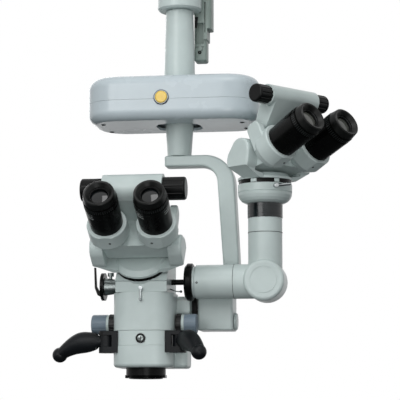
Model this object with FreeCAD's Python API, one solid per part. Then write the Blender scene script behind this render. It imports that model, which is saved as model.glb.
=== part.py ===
import FreeCAD, Part
import math
import os

# Surgical microscope head and its hanging carrier, in millimetres.
# The origin is the top mount face of the arm sleeve on the column axis: +Z is up, the front is -Y.
V = FreeCAD.Vector
X_AXIS, Y_AXIS, Z_AXIS = V(1, 0, 0), V(0, 1, 0), V(0, 0, 1)
ORIGIN = V(0, 0, 0)

# Clearances used all over
SLIDE_GAP = 0.05
LOOSE_GAP = 0.3
SEAM_GAP = 0.3

# Arm sleeve, arm-end shell and column
SLEEVE_R = 31.0
SLEEVE_H = 38.0
SLEEVE_LIP = 2.5
CABLE_R = 8.0
FLANGE_BOLTS = 6
FLANGE_BOLT_R = 2.5
FLANGE_PITCH_R = 25.5
SPINDLE_R = 17.0
COLLAR_R = 21.0
COLLAR_TOP = -14.0
COLLAR_H = 7.0
COLUMN_TOP_R = 19.3
COLUMN_BOTTOM_R = 22.0
ARM_SHELL_X = (18.0, 43.0)
ARM_SHELL_Y = (14.0, 44.0)
ARM_SHELL_BOTTOM = -76.0
ARM_BOX_BOTTOM = -93.0
ARM_CAP_BOTTOM = -107.0

# Pod that houses the cross slides
POD_LEFT, POD_RIGHT = -123.5, 117.0
POD_FRONT, POD_BACK = -75.0, 58.0
POD_TOP, POD_BOTTOM = -142.0, -204.5
POD_SEAM = -177.0
POD_CORNER_R = 46.0
POD_TOP_R, POD_UNDER_R = 15.0, 13.0
POD_WALL = 3.5
BUTTON_X, BUTTON_Z = -13.5, -175.0
BUTTON_R = 8.4
BUTTON_TRAVEL = 2.5
BEZEL_R = 10.6

# Cross slides in the pod and the swivel neck
STAGE_TRAVEL = 10.0
ROD_R = 4.0
FRAME_PLATE_T = 6.0
FRAME_HALF_X = 82.0
FRAME_HALF_Y = 48.0
FRAME_BLOCK_T = 12.0
RING_HALF_X = 40.0
RING_OPEN_X = 30.0
RING_OPEN_Y = 34.0
X_ROD_Z = -167.5
Y_ROD_Z = -184.5
Y_ROD_X = 20.0
RING_Z = (-191.0, -161.5)
BLOCK_HALF_X, BLOCK_HALF_Y = 27.0, 22.0
BLOCK_Z = (-193.0, -174.5)
NECK_TOP_R, NECK_BOTTOM_R = 20.3, 16.7
NECK_SPINDLE_R = 12.0
NECK_CAP_R = 16.0
NECK_BORE_R = 6.0
DUST_PLATE_T = 2.5
OPENING_GAP = 1.0
DUST_LAP = 1.2

# Carrier arm, focus housing and tilt bracket
ARM_TOP, ARM_UNDER = -246.5, -262.0
ARM_LEFT = -19.5
ARM_HALF_Y = 14.0
ARM_OUTER_X, ARM_OUTER_LEAN = 77.3, 0.0525
ARM_INNER_X, ARM_INNER_LEAN = 53.7, 0.0683
ARM_OUTER_R, ARM_INNER_R = 42.0, 24.0
ARM_EDGE_R = 3.0
ARM_END_R = 5.0
ARM_FOOT_TOP = -424.0
FOCUS_X = (27.0, 76.0)
FOCUS_Y = (-12.0, 34.0)
FOCUS_Z = (-490.5, -440.0)
FOCUS_TRAVEL = 15.0
TILT_Y, TILT_Z = 0.0, -458.0
TILT_SHAFT_R = 8.0
TILT_KNOB_R = 12.0

# Head: every height is in the head's level pose
AXIS_X, AXIS_Y = -38.5, -45.0
HEAD_HALF_X = 41.0
HEAD_FRONT, HEAD_BACK = -88.0, -4.0
HEAD_CORNER_R = 26.0
HEAD_WALL = 4.0
HEAD_TOP = -443.0
HEAD_BOTTOM = -494.0
COLLAR_BOTTOM = -514.0
BASE_BOTTOM = -543.5
FOOT_REACH = 57.0
OBJECTIVE_R = 27.0
OBJECTIVE_BOTTOM = -558.0
LENS_R = 22.6
SCREW_R = 6.3
KNOB_AXIS_Z = -484.0
SPLITTER_HALF = 35.0
KNOB_R = 13.5
HANDLE_DROP = 11.0
HANDLE_PIVOT_Z = HEAD_BOTTOM - HANDLE_DROP
HUB_R, HUB_HALF = 9.5, 10.5
HUB_DROP = 19.0
KNUCKLE_R = 9.0
FORK_HALF = 8.0
KNUCKLE_HALF = FORK_HALF - LOOSE_GAP
LEFT_GRIP_YAW, RIGHT_GRIP_YAW = 8.0, -58.0
# Grip sections: distance from the pin, height of the middle, half width, half height
GRIP_STATIONS = [(4, 0.0, 7.0, 7.1), (13, 0.0, 9.6, 10.8), (24, -0.8, 11.5, 13.6), (38, -2.0, 12.5, 14.4),
                 (51, -6.6, 11.6, 12.8), (60, -12.2, 10.5, 11.2), (67, -17.8, 9.9, 10.0)]

# Side ports and the observer's arm
TUBE_Z = -427.0
TUBE_R = 23.2
UNION_X = (16.4, 26.8)
UNION_R = 25.6
ELBOW_JOINT_X = 83.0
RISER_X = 125.5
ELBOW_R = 28.0
ELBOW_HALF_Y = 27.0
SWIVEL_Z = -361.0
ROTATOR_Z = (-341.0, -322.0)
FLARE_R = 37.0
FLARE_TOP = -296.0
PORT_RING_R = 19.0
PORT_RING_X = -98.0
PORT_ROD_R = 3.8

# Binocular, drawn about its tilt axis: the eyepieces look along -Y and up is +Z
LOCK_T = 6.0
PEDESTAL_R, PEDESTAL_TOP = 31.0, 14.5
PIVOT_RISE = 27.0
PIVOT_PIN_R = 8.0
LIGHT_BORE_R = 6.0
DRUM_R = PIVOT_RISE - PEDESTAL_TOP - 0.4
EAR_INNER, EAR_OUTER = 44.0, 62.3
EAR_REACH = 35.6
EAR_EDGE_R = 3.0
# Round ends of an ear in side view: forward, up, radius
EAR_LOW, EAR_HIGH = (8.0, 28.0, 20.0), (13.0, 41.0, 16.5)
BARREL_A, BARREL_U = 67.0, -7.0
BARREL_R, BARREL_TOP_R, EYECUP_R = 22.0, 23.0, 21.4
BARREL_LENGTH = 64.0
SHELL_R = 27.0
HOLDER_UNDER = 25.6
CHEEK_T = 9.0
CHEEK_RISE, CHEEK_CORNER_R = 11.0, 9.0
SOCKET = 16.0
HALF_PUPIL = 33.2
RAIL_HALF_X, RAIL_HALF_U, RAIL_T = 5.0, 8.0, 7.0
PUPIL_IN, PUPIL_OUT = 5.0, 3.5
SADDLE_HALF = 38.0

# The two binoculars. Seat: centre of the seam. Angles: lean of the seam, lift of the eyepieces, turn about Z.
# Bar: cross-bar forward, up, radius and half length. Knob: radius and length of each pupil-distance knob.
MAIN_SEAT = V(AXIS_X - 2.2, -66.0, -402.5)
MAIN_ANGLES = (48.0, 31.0, 0.0)
MAIN_BAR = (77.0, 41.0, 20.0, 40.5)
MAIN_KNOB = (15.5, 30.0)
OBSERVER_SEAT = V(RISER_X, AXIS_Y, FLARE_TOP)
OBSERVER_ANGLES = (0.0, 25.5, 52.0)
OBSERVER_BAR = (80.0, 58.0, 14.5, 44.0)
OBSERVER_KNOB = (12.5, 23.0)
MAIN_LEAN = MAIN_ANGLES[0]
OBSERVER_YAW = OBSERVER_ANGLES[2]

os.makedirs("parts", exist_ok=True)


def save(name, shape):
    """Writes one node; every solid in it is checked first."""
    if not shape.isValid():
        raise ValueError(name)
    shape.exportStep("parts/" + name + ".step")


def cylinder(radius, start, end):
    """Round bar between two points."""
    axis = end - start
    return Part.makeCylinder(radius, axis.Length, start, axis)


def cone(radius_start, radius_end, start, end):
    """Tapered round bar between two points."""
    axis = end - start
    if abs(radius_start - radius_end) < 1e-6:
        return cylinder(radius_start, start, end)
    return Part.makeCone(radius_start, radius_end, axis.Length, start, axis)


def tube(outer, inner, start, end):
    """Round tube between two points, its bore open at both ends."""
    axis = end - start
    unit = V(axis).normalize()
    return cylinder(outer, start, end).cut(cylinder(inner, start - unit, end + unit))


def block(x, y, z):
    """Box between pairs of limits."""
    return Part.makeBox(x[1] - x[0], y[1] - y[0], z[1] - z[0], V(x[0], y[0], z[0]))


def turned(profile, centre, axis=Z_AXIS):
    """Solid of revolution; profile is a closed list of (radius, height along the axis)."""
    points = [V(r, 0, h) for r, h in profile]
    face = Part.Face(Part.makePolygon(points + [points[0]]))
    solid = face.revolve(ORIGIN, Z_AXIS, 360)
    if axis != Z_AXIS:
        solid.Placement = FreeCAD.Placement(ORIGIN, FreeCAD.Rotation(Z_AXIS, axis))
    solid.translate(centre)
    return solid


def rounded_plan(x, y, z, radius):
    """Upright prism with four rounded corners."""
    body = block(x, y, z)
    upright = [e for e in body.Edges if abs(e.tangentAt(e.FirstParameter).z) > 0.99]
    return body.makeFillet(radius, upright)


def level_edges(shape, height):
    """Edges that lie in one level plane."""
    return [e for e in shape.Edges if abs(e.BoundBox.ZMin - height) < 0.01 and abs(e.BoundBox.ZMax - height) < 0.01]


def plate_profile(points, y, edge_r=0.0):
    """Upright plate cut to a side outline given as (X, Z) points."""
    corners = [V(px, y[0], pz) for px, pz in points]
    body = Part.Face(Part.makePolygon(corners + [corners[0]])).extrude(V(0, y[1] - y[0], 0))
    if edge_r:
        body = body.makeFillet(edge_r, [e for e in body.Edges if abs(e.tangentAt(e.FirstParameter).y) < 0.01])
    return body


def side_profile(points, x):
    """Upright plate cut to an end outline given as (Y, Z) points."""
    corners = [V(x[0], py, pz) for py, pz in points]
    return Part.Face(Part.makePolygon(corners + [corners[0]])).extrude(V(x[1] - x[0], 0, 0))


# Arm sleeve: bolted under the ceiling arm by its top face, with the thrust groove for the column
spindle_bore = SPINDLE_R + SLIDE_GAP
groove = tube(COLLAR_R + LOOSE_GAP, spindle_bore - 1, V(0, 0, COLLAR_TOP - COLLAR_H - LOOSE_GAP), V(0, 0, COLLAR_TOP + LOOSE_GAP))
sleeve = turned([(CABLE_R, 0), (SLEEVE_R, 0), (SLEEVE_R, -SLEEVE_H + SLEEVE_LIP), (SLEEVE_R - SLEEVE_LIP, -SLEEVE_H),
                 (spindle_bore, -SLEEVE_H), (spindle_bore, -8), (CABLE_R, -8)], ORIGIN)
sleeve = sleeve.cut(groove)
for i in range(FLANGE_BOLTS):
    angle = math.radians(360 / FLANGE_BOLTS * i + 30)
    centre = V(FLANGE_PITCH_R * math.cos(angle), FLANGE_PITCH_R * math.sin(angle), 1)
    sleeve = sleeve.cut(cylinder(FLANGE_BOLT_R, centre, centre - Z_AXIS * 12))
save("arm_sleeve", sleeve)

# Arm-end shell: the link cover beside the sleeve, slotted for its brake and closed below by a cap
shell = block(ARM_SHELL_X, ARM_SHELL_Y, (ARM_SHELL_BOTTOM, 0))
shell = shell.makeFillet(5, [e for e in shell.Edges if abs(e.tangentAt(e.FirstParameter).z) > 0.99])
shell = shell.cut(side_profile([(-100, ARM_SHELL_BOTTOM - 1), (100, ARM_SHELL_BOTTOM - 1), (100, -60), (-100, -60)],
                               (ARM_SHELL_X[1] - 6, ARM_SHELL_X[1] + 1)))
link_box = rounded_plan((ARM_SHELL_X[0], 36.0), (16.0, 40.0), (ARM_BOX_BOTTOM, ARM_SHELL_BOTTOM + 30), 4)
shell = shell.fuse(link_box).removeSplitter()
brake_slot = block((ARM_SHELL_X[0] + 3, 32), (ARM_SHELL_Y[0] - 5, ARM_SHELL_Y[0] + 9), (-82, -52))
thin_slot = block((ARM_SHELL_X[0] - 1, 33), (ARM_SHELL_Y[0] - 5, ARM_SHELL_Y[0] + 3.5), (-88, -86))
link_slot = block((33, 35), (ARM_SHELL_Y[0] - 5, ARM_SHELL_Y[0] + 4), (-66, -22))
shell = shell.cut(brake_slot).cut(thin_slot).cut(link_slot).cut(cylinder(SLEEVE_R, V(0, 0, 1), V(0, 0, -SLEEVE_H)))
cap = rounded_plan((ARM_SHELL_X[0], 36.0), (16.0, 40.0), (ARM_CAP_BOTTOM, ARM_BOX_BOTTOM), 4)
cap = cap.makeFillet(3, level_edges(cap, ARM_CAP_BOTTOM))
brake_screw = cylinder(3.2, V(27, 17, -89.5), V(27, 13.5, -89.5))
save("arm_shell", shell.fuse(cap).fuse(brake_screw))

# Column: spindle with thrust collar, tapered tube, and the flange that carries the slide frame
column = turned([(CABLE_R, -10), (SPINDLE_R, -10), (SPINDLE_R, COLLAR_TOP), (COLLAR_R, COLLAR_TOP),
                 (COLLAR_R, COLLAR_TOP - COLLAR_H), (SPINDLE_R, COLLAR_TOP - COLLAR_H), (SPINDLE_R, -SLEEVE_H - 1),
                 (COLUMN_TOP_R, -SLEEVE_H - 1), (COLUMN_BOTTOM_R, POD_TOP), (COLUMN_BOTTOM_R, POD_TOP - 8),
                 (30, POD_TOP - 8), (30, POD_TOP - 12), (CABLE_R, POD_TOP - 12)], ORIGIN)
save("column", column)

# Pod shells: two mouldings that meet at the seam, hollow, with screw posts inside


def pod_form(inset):
    """Outside of the pod, or its inside when inset by the wall."""
    form = rounded_plan((POD_LEFT + inset, POD_RIGHT - inset), (POD_FRONT + inset, POD_BACK - inset),
                        (POD_BOTTOM + inset, POD_TOP - inset), POD_CORNER_R - inset)
    form = form.makeFillet(POD_TOP_R - inset, level_edges(form, POD_TOP - inset))
    return form.makeFillet(POD_UNDER_R - inset, level_edges(form, POD_BOTTOM + inset))


pod_skin = pod_form(0.0).cut(pod_form(POD_WALL))
bezel_hole = cylinder(BEZEL_R - 1, V(BUTTON_X, POD_FRONT - 5, BUTTON_Z), V(BUTTON_X, POD_FRONT + 10, BUTTON_Z))
pod_skin = pod_skin.cut(bezel_hole)
opening_r = NECK_TOP_R + OPENING_GAP
opening_half = opening_r + STAGE_TRAVEL
opening = rounded_plan((-opening_half, opening_half), (-opening_half, opening_half), (POD_BOTTOM - 1, POD_BOTTOM + POD_WALL + 1), opening_r)
pod_x, pod_y = (POD_LEFT - 1, POD_RIGHT + 1), (POD_FRONT - 1, POD_BACK + 1)
above = block(pod_x, pod_y, (POD_SEAM + SEAM_GAP / 2, POD_TOP + 1))
below = block(pod_x, pod_y, (POD_BOTTOM - 1, POD_SEAM - SEAM_GAP / 2))
POST_PLACES = [(-102, -34), (-102, 26), (92, -26), (92, 22)]
upper_posts = [cylinder(5, V(px, py, POD_SEAM + SEAM_GAP / 2), V(px, py, POD_TOP - POD_WALL + 1)) for px, py in POST_PLACES]
lower_posts = [cylinder(5, V(px, py, POD_BOTTOM + POD_WALL - 1), V(px, py, POD_SEAM - SEAM_GAP / 2)) for px, py in POST_PLACES]
pod_upper = pod_skin.common(above).cut(cylinder(COLUMN_BOTTOM_R, V(0, 0, POD_TOP + 2), V(0, 0, POD_TOP - 10)))
save("pod_upper_shell", pod_upper.multiFuse(upper_posts))
save("pod_lower_shell", pod_skin.common(below).cut(opening).multiFuse(lower_posts))

# Reset button with its bezel in the front wall
face_y = POD_FRONT
bezel = turned([(BUTTON_R + LOOSE_GAP, -2.2), (BEZEL_R - 1.4, -2.2), (BEZEL_R, -1), (BEZEL_R, 0), (BEZEL_R - 1, 0),
                (BEZEL_R - 1, 9), (BUTTON_R + LOOSE_GAP, 9)], V(BUTTON_X, face_y, BUTTON_Z), Y_AXIS)
save("button_bezel", bezel)
button = turned([(0, -3.4), (BUTTON_R - 1.2, -3.4), (BUTTON_R, -2.2), (BUTTON_R, 9 + LOOSE_GAP), (BEZEL_R - 1, 9 + LOOSE_GAP),
                 (BEZEL_R - 1, 12), (0, 12)], V(BUTTON_X, face_y, BUTTON_Z), Y_AXIS)
save("reset_button", button)

# Slide frame: plate on the column flange, end blocks and the two rods along X
plate_top = POD_TOP - 12
plate_bottom = plate_top - FRAME_PLATE_T
frame = block((-FRAME_HALF_X, FRAME_HALF_X), (-FRAME_HALF_Y, FRAME_HALF_Y), (plate_bottom, plate_top))
frame = frame.makeChamfer(14, [e for e in frame.Edges if abs(e.tangentAt(e.FirstParameter).z) > 0.99])
for side in (-1, 1):
    ends = sorted((side * (FRAME_HALF_X - FRAME_BLOCK_T), side * FRAME_HALF_X))
    for y_side in (-1, 1):
        rows = sorted((y_side * (RING_OPEN_Y - 6), y_side * FRAME_HALF_Y))
        frame = frame.fuse(block(ends, rows, (X_ROD_Z - 8, plate_bottom)))
rod_y = (RING_OPEN_Y + FRAME_HALF_Y) / 2
for y_side in (-1, 1):
    frame = frame.fuse(cylinder(ROD_R, V(-FRAME_HALF_X, y_side * rod_y, X_ROD_Z), V(FRAME_HALF_X, y_side * rod_y, X_ROD_Z)))
save("slide_frame", frame.removeSplitter())

# X carriage: a ring frame on the X rods that holds the two Y rods
ring = block((-RING_HALF_X, RING_HALF_X), (-FRAME_HALF_Y, FRAME_HALF_Y), RING_Z)
ring = ring.cut(block((-RING_OPEN_X, RING_OPEN_X), (-RING_OPEN_Y, RING_OPEN_Y), (RING_Z[0] - 1, RING_Z[1] + 1)))
for y_side in (-1, 1):
    ring = ring.cut(cylinder(ROD_R + SLIDE_GAP, V(-RING_HALF_X - 1, y_side * rod_y, X_ROD_Z), V(RING_HALF_X + 1, y_side * rod_y, X_ROD_Z)))
for x_side in (-1, 1):
    ring = ring.fuse(cylinder(ROD_R, V(x_side * Y_ROD_X, -RING_OPEN_Y - 8, Y_ROD_Z), V(x_side * Y_ROD_X, RING_OPEN_Y + 8, Y_ROD_Z)))
save("x_carriage", ring.removeSplitter())

# Y carriage: the block that slides on the Y rods and bears the neck
carriage = block((-BLOCK_HALF_X, BLOCK_HALF_X), (-BLOCK_HALF_Y, BLOCK_HALF_Y), BLOCK_Z)
carriage = carriage.cut(cylinder(NECK_SPINDLE_R + SLIDE_GAP, V(0, 0, BLOCK_Z[0] - 1), V(0, 0, BLOCK_Z[1] + 1)))
for x_side in (-1, 1):
    carriage = carriage.cut(cylinder(ROD_R + SLIDE_GAP, V(x_side * Y_ROD_X, -BLOCK_HALF_Y - 1, Y_ROD_Z), V(x_side * Y_ROD_X, BLOCK_HALF_Y + 1, Y_ROD_Z)))

# Dust plate under the block: closes the opening in the pod's floor in every position of the slides
dust_half = opening_half + STAGE_TRAVEL + DUST_LAP
dust_top = BLOCK_Z[0]
dust = rounded_plan((-dust_half, dust_half), (-dust_half, dust_half), (dust_top - DUST_PLATE_T, dust_top), opening_r)
dust = dust.cut(cylinder(NECK_SPINDLE_R + 1, V(0, 0, dust_top + 1), V(0, 0, dust_top - DUST_PLATE_T - 1)))
save("y_carriage", carriage.fuse(dust).removeSplitter())

# Neck: spindle with its thrust cap above the block, tapered barrel below
neck_top = dust_top - DUST_PLATE_T - 1
neck = turned([(NECK_BORE_R, BLOCK_Z[1] + LOOSE_GAP + 5), (NECK_CAP_R, BLOCK_Z[1] + LOOSE_GAP + 5), (NECK_CAP_R, BLOCK_Z[1] + LOOSE_GAP),
               (NECK_SPINDLE_R, BLOCK_Z[1] + LOOSE_GAP), (NECK_SPINDLE_R, neck_top), (NECK_TOP_R, neck_top),
               (NECK_BOTTOM_R, ARM_TOP), (NECK_BORE_R, ARM_TOP)], ORIGIN)
save("neck", neck)


# Carrier arm: bent box section from under the neck, out to the side and down to the focus housing
def arm_edge(x_at_top, z_top, lean, z):
    """X of a leaning edge at height z."""
    return x_at_top + (z_top - z) * lean


outer_low = arm_edge(ARM_OUTER_X, ARM_TOP, ARM_OUTER_LEAN, ARM_FOOT_TOP)
inner_low = arm_edge(ARM_INNER_X, ARM_UNDER, ARM_INNER_LEAN, ARM_FOOT_TOP)
arm_points = [(ARM_LEFT, ARM_TOP), (ARM_OUTER_X, ARM_TOP), (outer_low, ARM_FOOT_TOP), (outer_low - 3, FOCUS_Z[1]),
              (FOCUS_X[0] + 6, FOCUS_Z[1]), (FOCUS_X[0] + 6, FOCUS_Z[1] + 5), (inner_low, ARM_FOOT_TOP),
              (ARM_INNER_X, ARM_UNDER), (ARM_LEFT, ARM_UNDER)]
arm = plate_profile(arm_points, (-ARM_HALF_Y, ARM_HALF_Y))


def edge_at(shape, x, z):
    """The edge along Y that passes through (x, z)."""
    return [e for e in shape.Edges if abs(e.BoundBox.XMin - x) < 0.01 and abs(e.BoundBox.XMax - x) < 0.01
            and abs(e.BoundBox.ZMin - z) < 0.01 and abs(e.BoundBox.ZMax - z) < 0.01]


arm = arm.makeFillet(ARM_OUTER_R, edge_at(arm, ARM_OUTER_X, ARM_TOP))
arm = arm.makeFillet(ARM_INNER_R, edge_at(arm, ARM_INNER_X, ARM_UNDER))
arm = arm.makeFillet(ARM_END_R, [e for e in arm.Edges if e.BoundBox.XMax < ARM_LEFT + 0.01 and e.BoundBox.ZLength > 10])
rim = [e for e in arm.Edges if e.BoundBox.YLength < 0.01 and e.BoundBox.ZMax > FOCUS_Z[1] + 1 and e.BoundBox.XMin > 0]
arm = arm.makeFillet(ARM_EDGE_R, rim) if rim else arm
arm = arm.cut(cylinder(NECK_BORE_R, V(0, 0, ARM_TOP + 1), V(0, 0, ARM_TOP - 10)))
save("carrier_arm", arm)

# Focus housing: hollow case with the slot for the carriage on its left side
case = block(FOCUS_X, FOCUS_Y, FOCUS_Z)
case = case.makeFillet(4, [e for e in case.Edges if abs(e.tangentAt(e.FirstParameter).z) > 0.99])
case = case.makeFillet(2, level_edges(case, FOCUS_Z[0]))
rail_half = 9.0
slot_z = (TILT_Z - 20 - FOCUS_TRAVEL, TILT_Z + 20 + FOCUS_TRAVEL)
slot_z = (max(slot_z[0], FOCUS_Z[0] + 4), min(slot_z[1], FOCUS_Z[1] - 4))
case = case.cut(block((FOCUS_X[0] + 4, FOCUS_X[1] - 4), (FOCUS_Y[0] + 4, FOCUS_Y[1] - 4), (FOCUS_Z[0] + 4, FOCUS_Z[1] - 4)))
rail_y = (TILT_Y - rail_half, TILT_Y + rail_half)
case = case.cut(block((FOCUS_X[0] - 1, FOCUS_X[0] + 6 + LOOSE_GAP), (rail_y[0] - LOOSE_GAP, rail_y[1] + LOOSE_GAP), slot_z))
case = case.cut(cylinder(5 + LOOSE_GAP, V(FOCUS_X[1] - 5, 8, -478), V(FOCUS_X[1] + 1, 8, -478)))
save("focus_housing", case)

# Tilt knob on the right side of the housing, with its shaft through the wall
knob = turned([(0, -8), (5, -8), (5, LOOSE_GAP + 0.3), (TILT_KNOB_R, LOOSE_GAP + 0.3), (TILT_KNOB_R, 3), (TILT_KNOB_R - 1.5, 4.5), (0, 4.5)],
              V(FOCUS_X[1], 8, -478), X_AXIS)
for i in range(12):
    angle = math.radians(30 * i)
    spot = V(FOCUS_X[1] + 1.5, 8 + (TILT_KNOB_R + 0.8) * math.cos(angle), -478 + (TILT_KNOB_R + 0.8) * math.sin(angle))
    knob = knob.cut(cylinder(1.8, spot, spot + X_AXIS * 8))
save("tilt_knob", knob)

# Focus carriage: dark slide in the housing's slot, with the tilt shaft on its outer face
rail_z = (slot_z[0] + FOCUS_TRAVEL + LOOSE_GAP, slot_z[1] - FOCUS_TRAVEL - LOOSE_GAP)
carriage = block((FOCUS_X[0] - 7, FOCUS_X[0] - 1), (TILT_Y - 14, TILT_Y + 14), (TILT_Z - 26, TILT_Z + 13))
carriage = carriage.fuse(block((FOCUS_X[0] - 2, FOCUS_X[0] + 6), rail_y, rail_z))
carriage = carriage.fuse(block((FOCUS_X[0] + 5 + LOOSE_GAP, FOCUS_X[0] + 16), (FOCUS_Y[0] + 4 + LOOSE_GAP, rail_y[1] + 4), rail_z))
shaft_end = AXIS_X + HEAD_HALF_X + 1
carriage = carriage.fuse(cylinder(TILT_SHAFT_R, V(FOCUS_X[0] - 7, TILT_Y, TILT_Z), V(shaft_end, TILT_Y, TILT_Z)))
save("focus_carriage", carriage.removeSplitter())


# Head bracket: arm on the head's right side that turns on the tilt shaft
side_x = AXIS_X + HEAD_HALF_X
bracket = block((side_x, FOCUS_X[0] - 7 - LOOSE_GAP), (-34, 20), (-471, -445))
bracket = bracket.makeFillet(4, [e for e in bracket.Edges if abs(e.tangentAt(e.FirstParameter).x) > 0.99])
bracket = bracket.cut(cylinder(TILT_SHAFT_R + SLIDE_GAP, V(shaft_end - LOOSE_GAP, TILT_Y, TILT_Z), V(FOCUS_X[0], TILT_Y, TILT_Z)))
bracket = bracket.cut(cylinder(UNION_R + 1, V(side_x, AXIS_Y, TUBE_Z), V(FOCUS_X[0], AXIS_Y, TUBE_Z)))
save("head_bracket", bracket)


# Zoom body: hollow painted case with a rounded front
def head_case(bottom, top, grow=0.0):
    """Plan of the head between two heights, larger by grow all round."""
    return rounded_plan((AXIS_X - HEAD_HALF_X - grow, side_x + grow), (HEAD_FRONT - grow, HEAD_BACK + grow), (bottom, top), HEAD_CORNER_R + grow)


zoom_case = head_case(HEAD_BOTTOM, HEAD_TOP).cut(head_case(HEAD_BOTTOM - 1, HEAD_TOP + 1, -HEAD_WALL))
knob_line = cylinder(5 + LOOSE_GAP, V(AXIS_X - 60, AXIS_Y, KNOB_AXIS_Z), V(AXIS_X + 60, AXIS_Y, KNOB_AXIS_Z))
save("zoom_body", zoom_case.cut(knob_line))


def ribbed_knob(radius, length, ribs, rib_r, base, axis, cap_r):
    """Round knob from base along axis, with grooves cut along its rim and a rounded end."""
    knob_body = cylinder(radius, base, base + axis * length)
    far_edge = [e for e in knob_body.Edges if e.Closed and (e.CenterOfMass - base - axis * length).Length < 0.01]
    knob_body = knob_body.makeFillet(cap_r, far_edge)
    spin = FreeCAD.Rotation(Z_AXIS, axis)
    for i in range(ribs):
        angle = 2 * math.pi * i / ribs
        offset = spin.multVec(V(math.cos(angle), math.sin(angle), 0) * (radius + rib_r * 0.55))
        start = base + offset - axis
        knob_body = knob_body.cut(cylinder(rib_r, start, start + axis * (length - cap_r + 1)))
    return knob_body


# Zoom knobs: one shaft through the body with a gear ring and a grip knob on each side
shaft = cylinder(5, V(AXIS_X - 75, AXIS_Y, KNOB_AXIS_Z), V(AXIS_X + 71, AXIS_Y, KNOB_AXIS_Z))
for side, reach in ((-1, 75), (1, 71)):
    inner = V(AXIS_X + side * (HEAD_HALF_X + 1.5), AXIS_Y, KNOB_AXIS_Z)
    ring_end = V(AXIS_X + side * (HEAD_HALF_X + 9), AXIS_Y, KNOB_AXIS_Z)
    shaft = shaft.fuse(ribbed_knob(KNOB_R + 0.6, 8, 18, 1.0, inner, V(side, 0, 0), 0.8))
    knob_len = reach - HEAD_HALF_X - 9.5
    shaft = shaft.fuse(cone(KNOB_R, KNOB_R - 0.5, ring_end, ring_end + V(side * 3, 0, 0)))
    grip = ribbed_knob(KNOB_R, knob_len - 3, 12, 0.9, ring_end + V(side * 3, 0, 0), V(side, 0, 0), 2)
    shaft = shaft.fuse(grip)
save("zoom_knobs", shaft)

# Handle collar: painted band under the zoom body, closed by the clamp screw in front
band = head_case(COLLAR_BOTTOM, HEAD_BOTTOM - SEAM_GAP, -0.8).cut(head_case(COLLAR_BOTTOM - 1, HEAD_BOTTOM + 1, -HEAD_WALL - 2))
screw_face = HEAD_FRONT + 0.8
band = band.cut(cylinder(SCREW_R, V(AXIS_X, screw_face - 1, HANDLE_PIVOT_Z), V(AXIS_X, screw_face + 3, HANDLE_PIVOT_Z)))
screw = cylinder(SCREW_R, V(AXIS_X, screw_face - 1, HANDLE_PIVOT_Z), V(AXIS_X, screw_face + 3, HANDLE_PIVOT_Z))
screw = screw.cut(tube(SCREW_R - 1.2, SCREW_R - 2, V(AXIS_X, screw_face - 2, HANDLE_PIVOT_Z), V(AXIS_X, screw_face - 0.4, HANDLE_PIVOT_Z)))
slot_a = block((AXIS_X - 3.2, AXIS_X + 3.2), (screw_face - 2, screw_face + 0.4), (HANDLE_PIVOT_Z - 0.6, HANDLE_PIVOT_Z + 0.6))
slot_b = block((AXIS_X - 0.6, AXIS_X + 0.6), (screw_face - 2, screw_face + 0.4), (HANDLE_PIVOT_Z - 3.2, HANDLE_PIVOT_Z + 3.2))
save("handle_collar", band.fuse(screw.cut(slot_a).cut(slot_b)))

# Lower body: bottom case around the objective
lower = head_case(BASE_BOTTOM, COLLAR_BOTTOM - SEAM_GAP)
foot = rounded_plan((AXIS_X, AXIS_X + FOOT_REACH), (-50, HEAD_BACK), (BASE_BOTTOM, COLLAR_BOTTOM - SEAM_GAP), 8)
lower = lower.fuse(foot).removeSplitter()
lower = lower.makeFillet(5, level_edges(lower, BASE_BOTTOM))
lower = lower.cut(head_case(BASE_BOTTOM + HEAD_WALL, COLLAR_BOTTOM, -HEAD_WALL - 2))
save("lower_body", lower.cut(cylinder(OBJECTIVE_R - 2, V(AXIS_X, AXIS_Y, BASE_BOTTOM - 1), V(AXIS_X, AXIS_Y, BASE_BOTTOM + 10))))

# Objective: black ring with two side lugs, a stepped barrel and the front lens
ring_z = OBJECTIVE_BOTTOM + 4
objective = turned([(LENS_R, BASE_BOTTOM + 8), (OBJECTIVE_R - 2, BASE_BOTTOM + 8), (OBJECTIVE_R - 2, BASE_BOTTOM),
                    (OBJECTIVE_R, BASE_BOTTOM), (OBJECTIVE_R, ring_z), (OBJECTIVE_R - 3, ring_z),
                    (OBJECTIVE_R - 4, OBJECTIVE_BOTTOM), (LENS_R - 1.5, OBJECTIVE_BOTTOM), (LENS_R - 1.5, ring_z + 4), (LENS_R, ring_z + 4)],
                   V(AXIS_X, AXIS_Y, 0))
for side in (-1, 1):
    lug_x = sorted((AXIS_X + side * (OBJECTIVE_R - 5), AXIS_X + side * (OBJECTIVE_R + 0.5)))
    objective = objective.fuse(block(lug_x, (AXIS_Y - 7, AXIS_Y + 7), (ring_z - 3, ring_z + 1)))
save("objective_ring", objective.removeSplitter())
lens_z = ring_z + 4.3
ball_r = 90.0
lens = cylinder(LENS_R - 0.1, V(AXIS_X, AXIS_Y, lens_z), V(AXIS_X, AXIS_Y, lens_z + 6))
lens = lens.common(Part.makeSphere(ball_r, V(AXIS_X, AXIS_Y, lens_z + ball_r)))
save("objective_lens", lens)


# Handles: black hub blocks on the collar's sides, each with a moulded grip on an upright pin
def mirror_x(shape):
    """Mirror image across the head's middle plane."""
    return shape.mirror(V(AXIS_X, 0, 0), X_AXIS)


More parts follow.
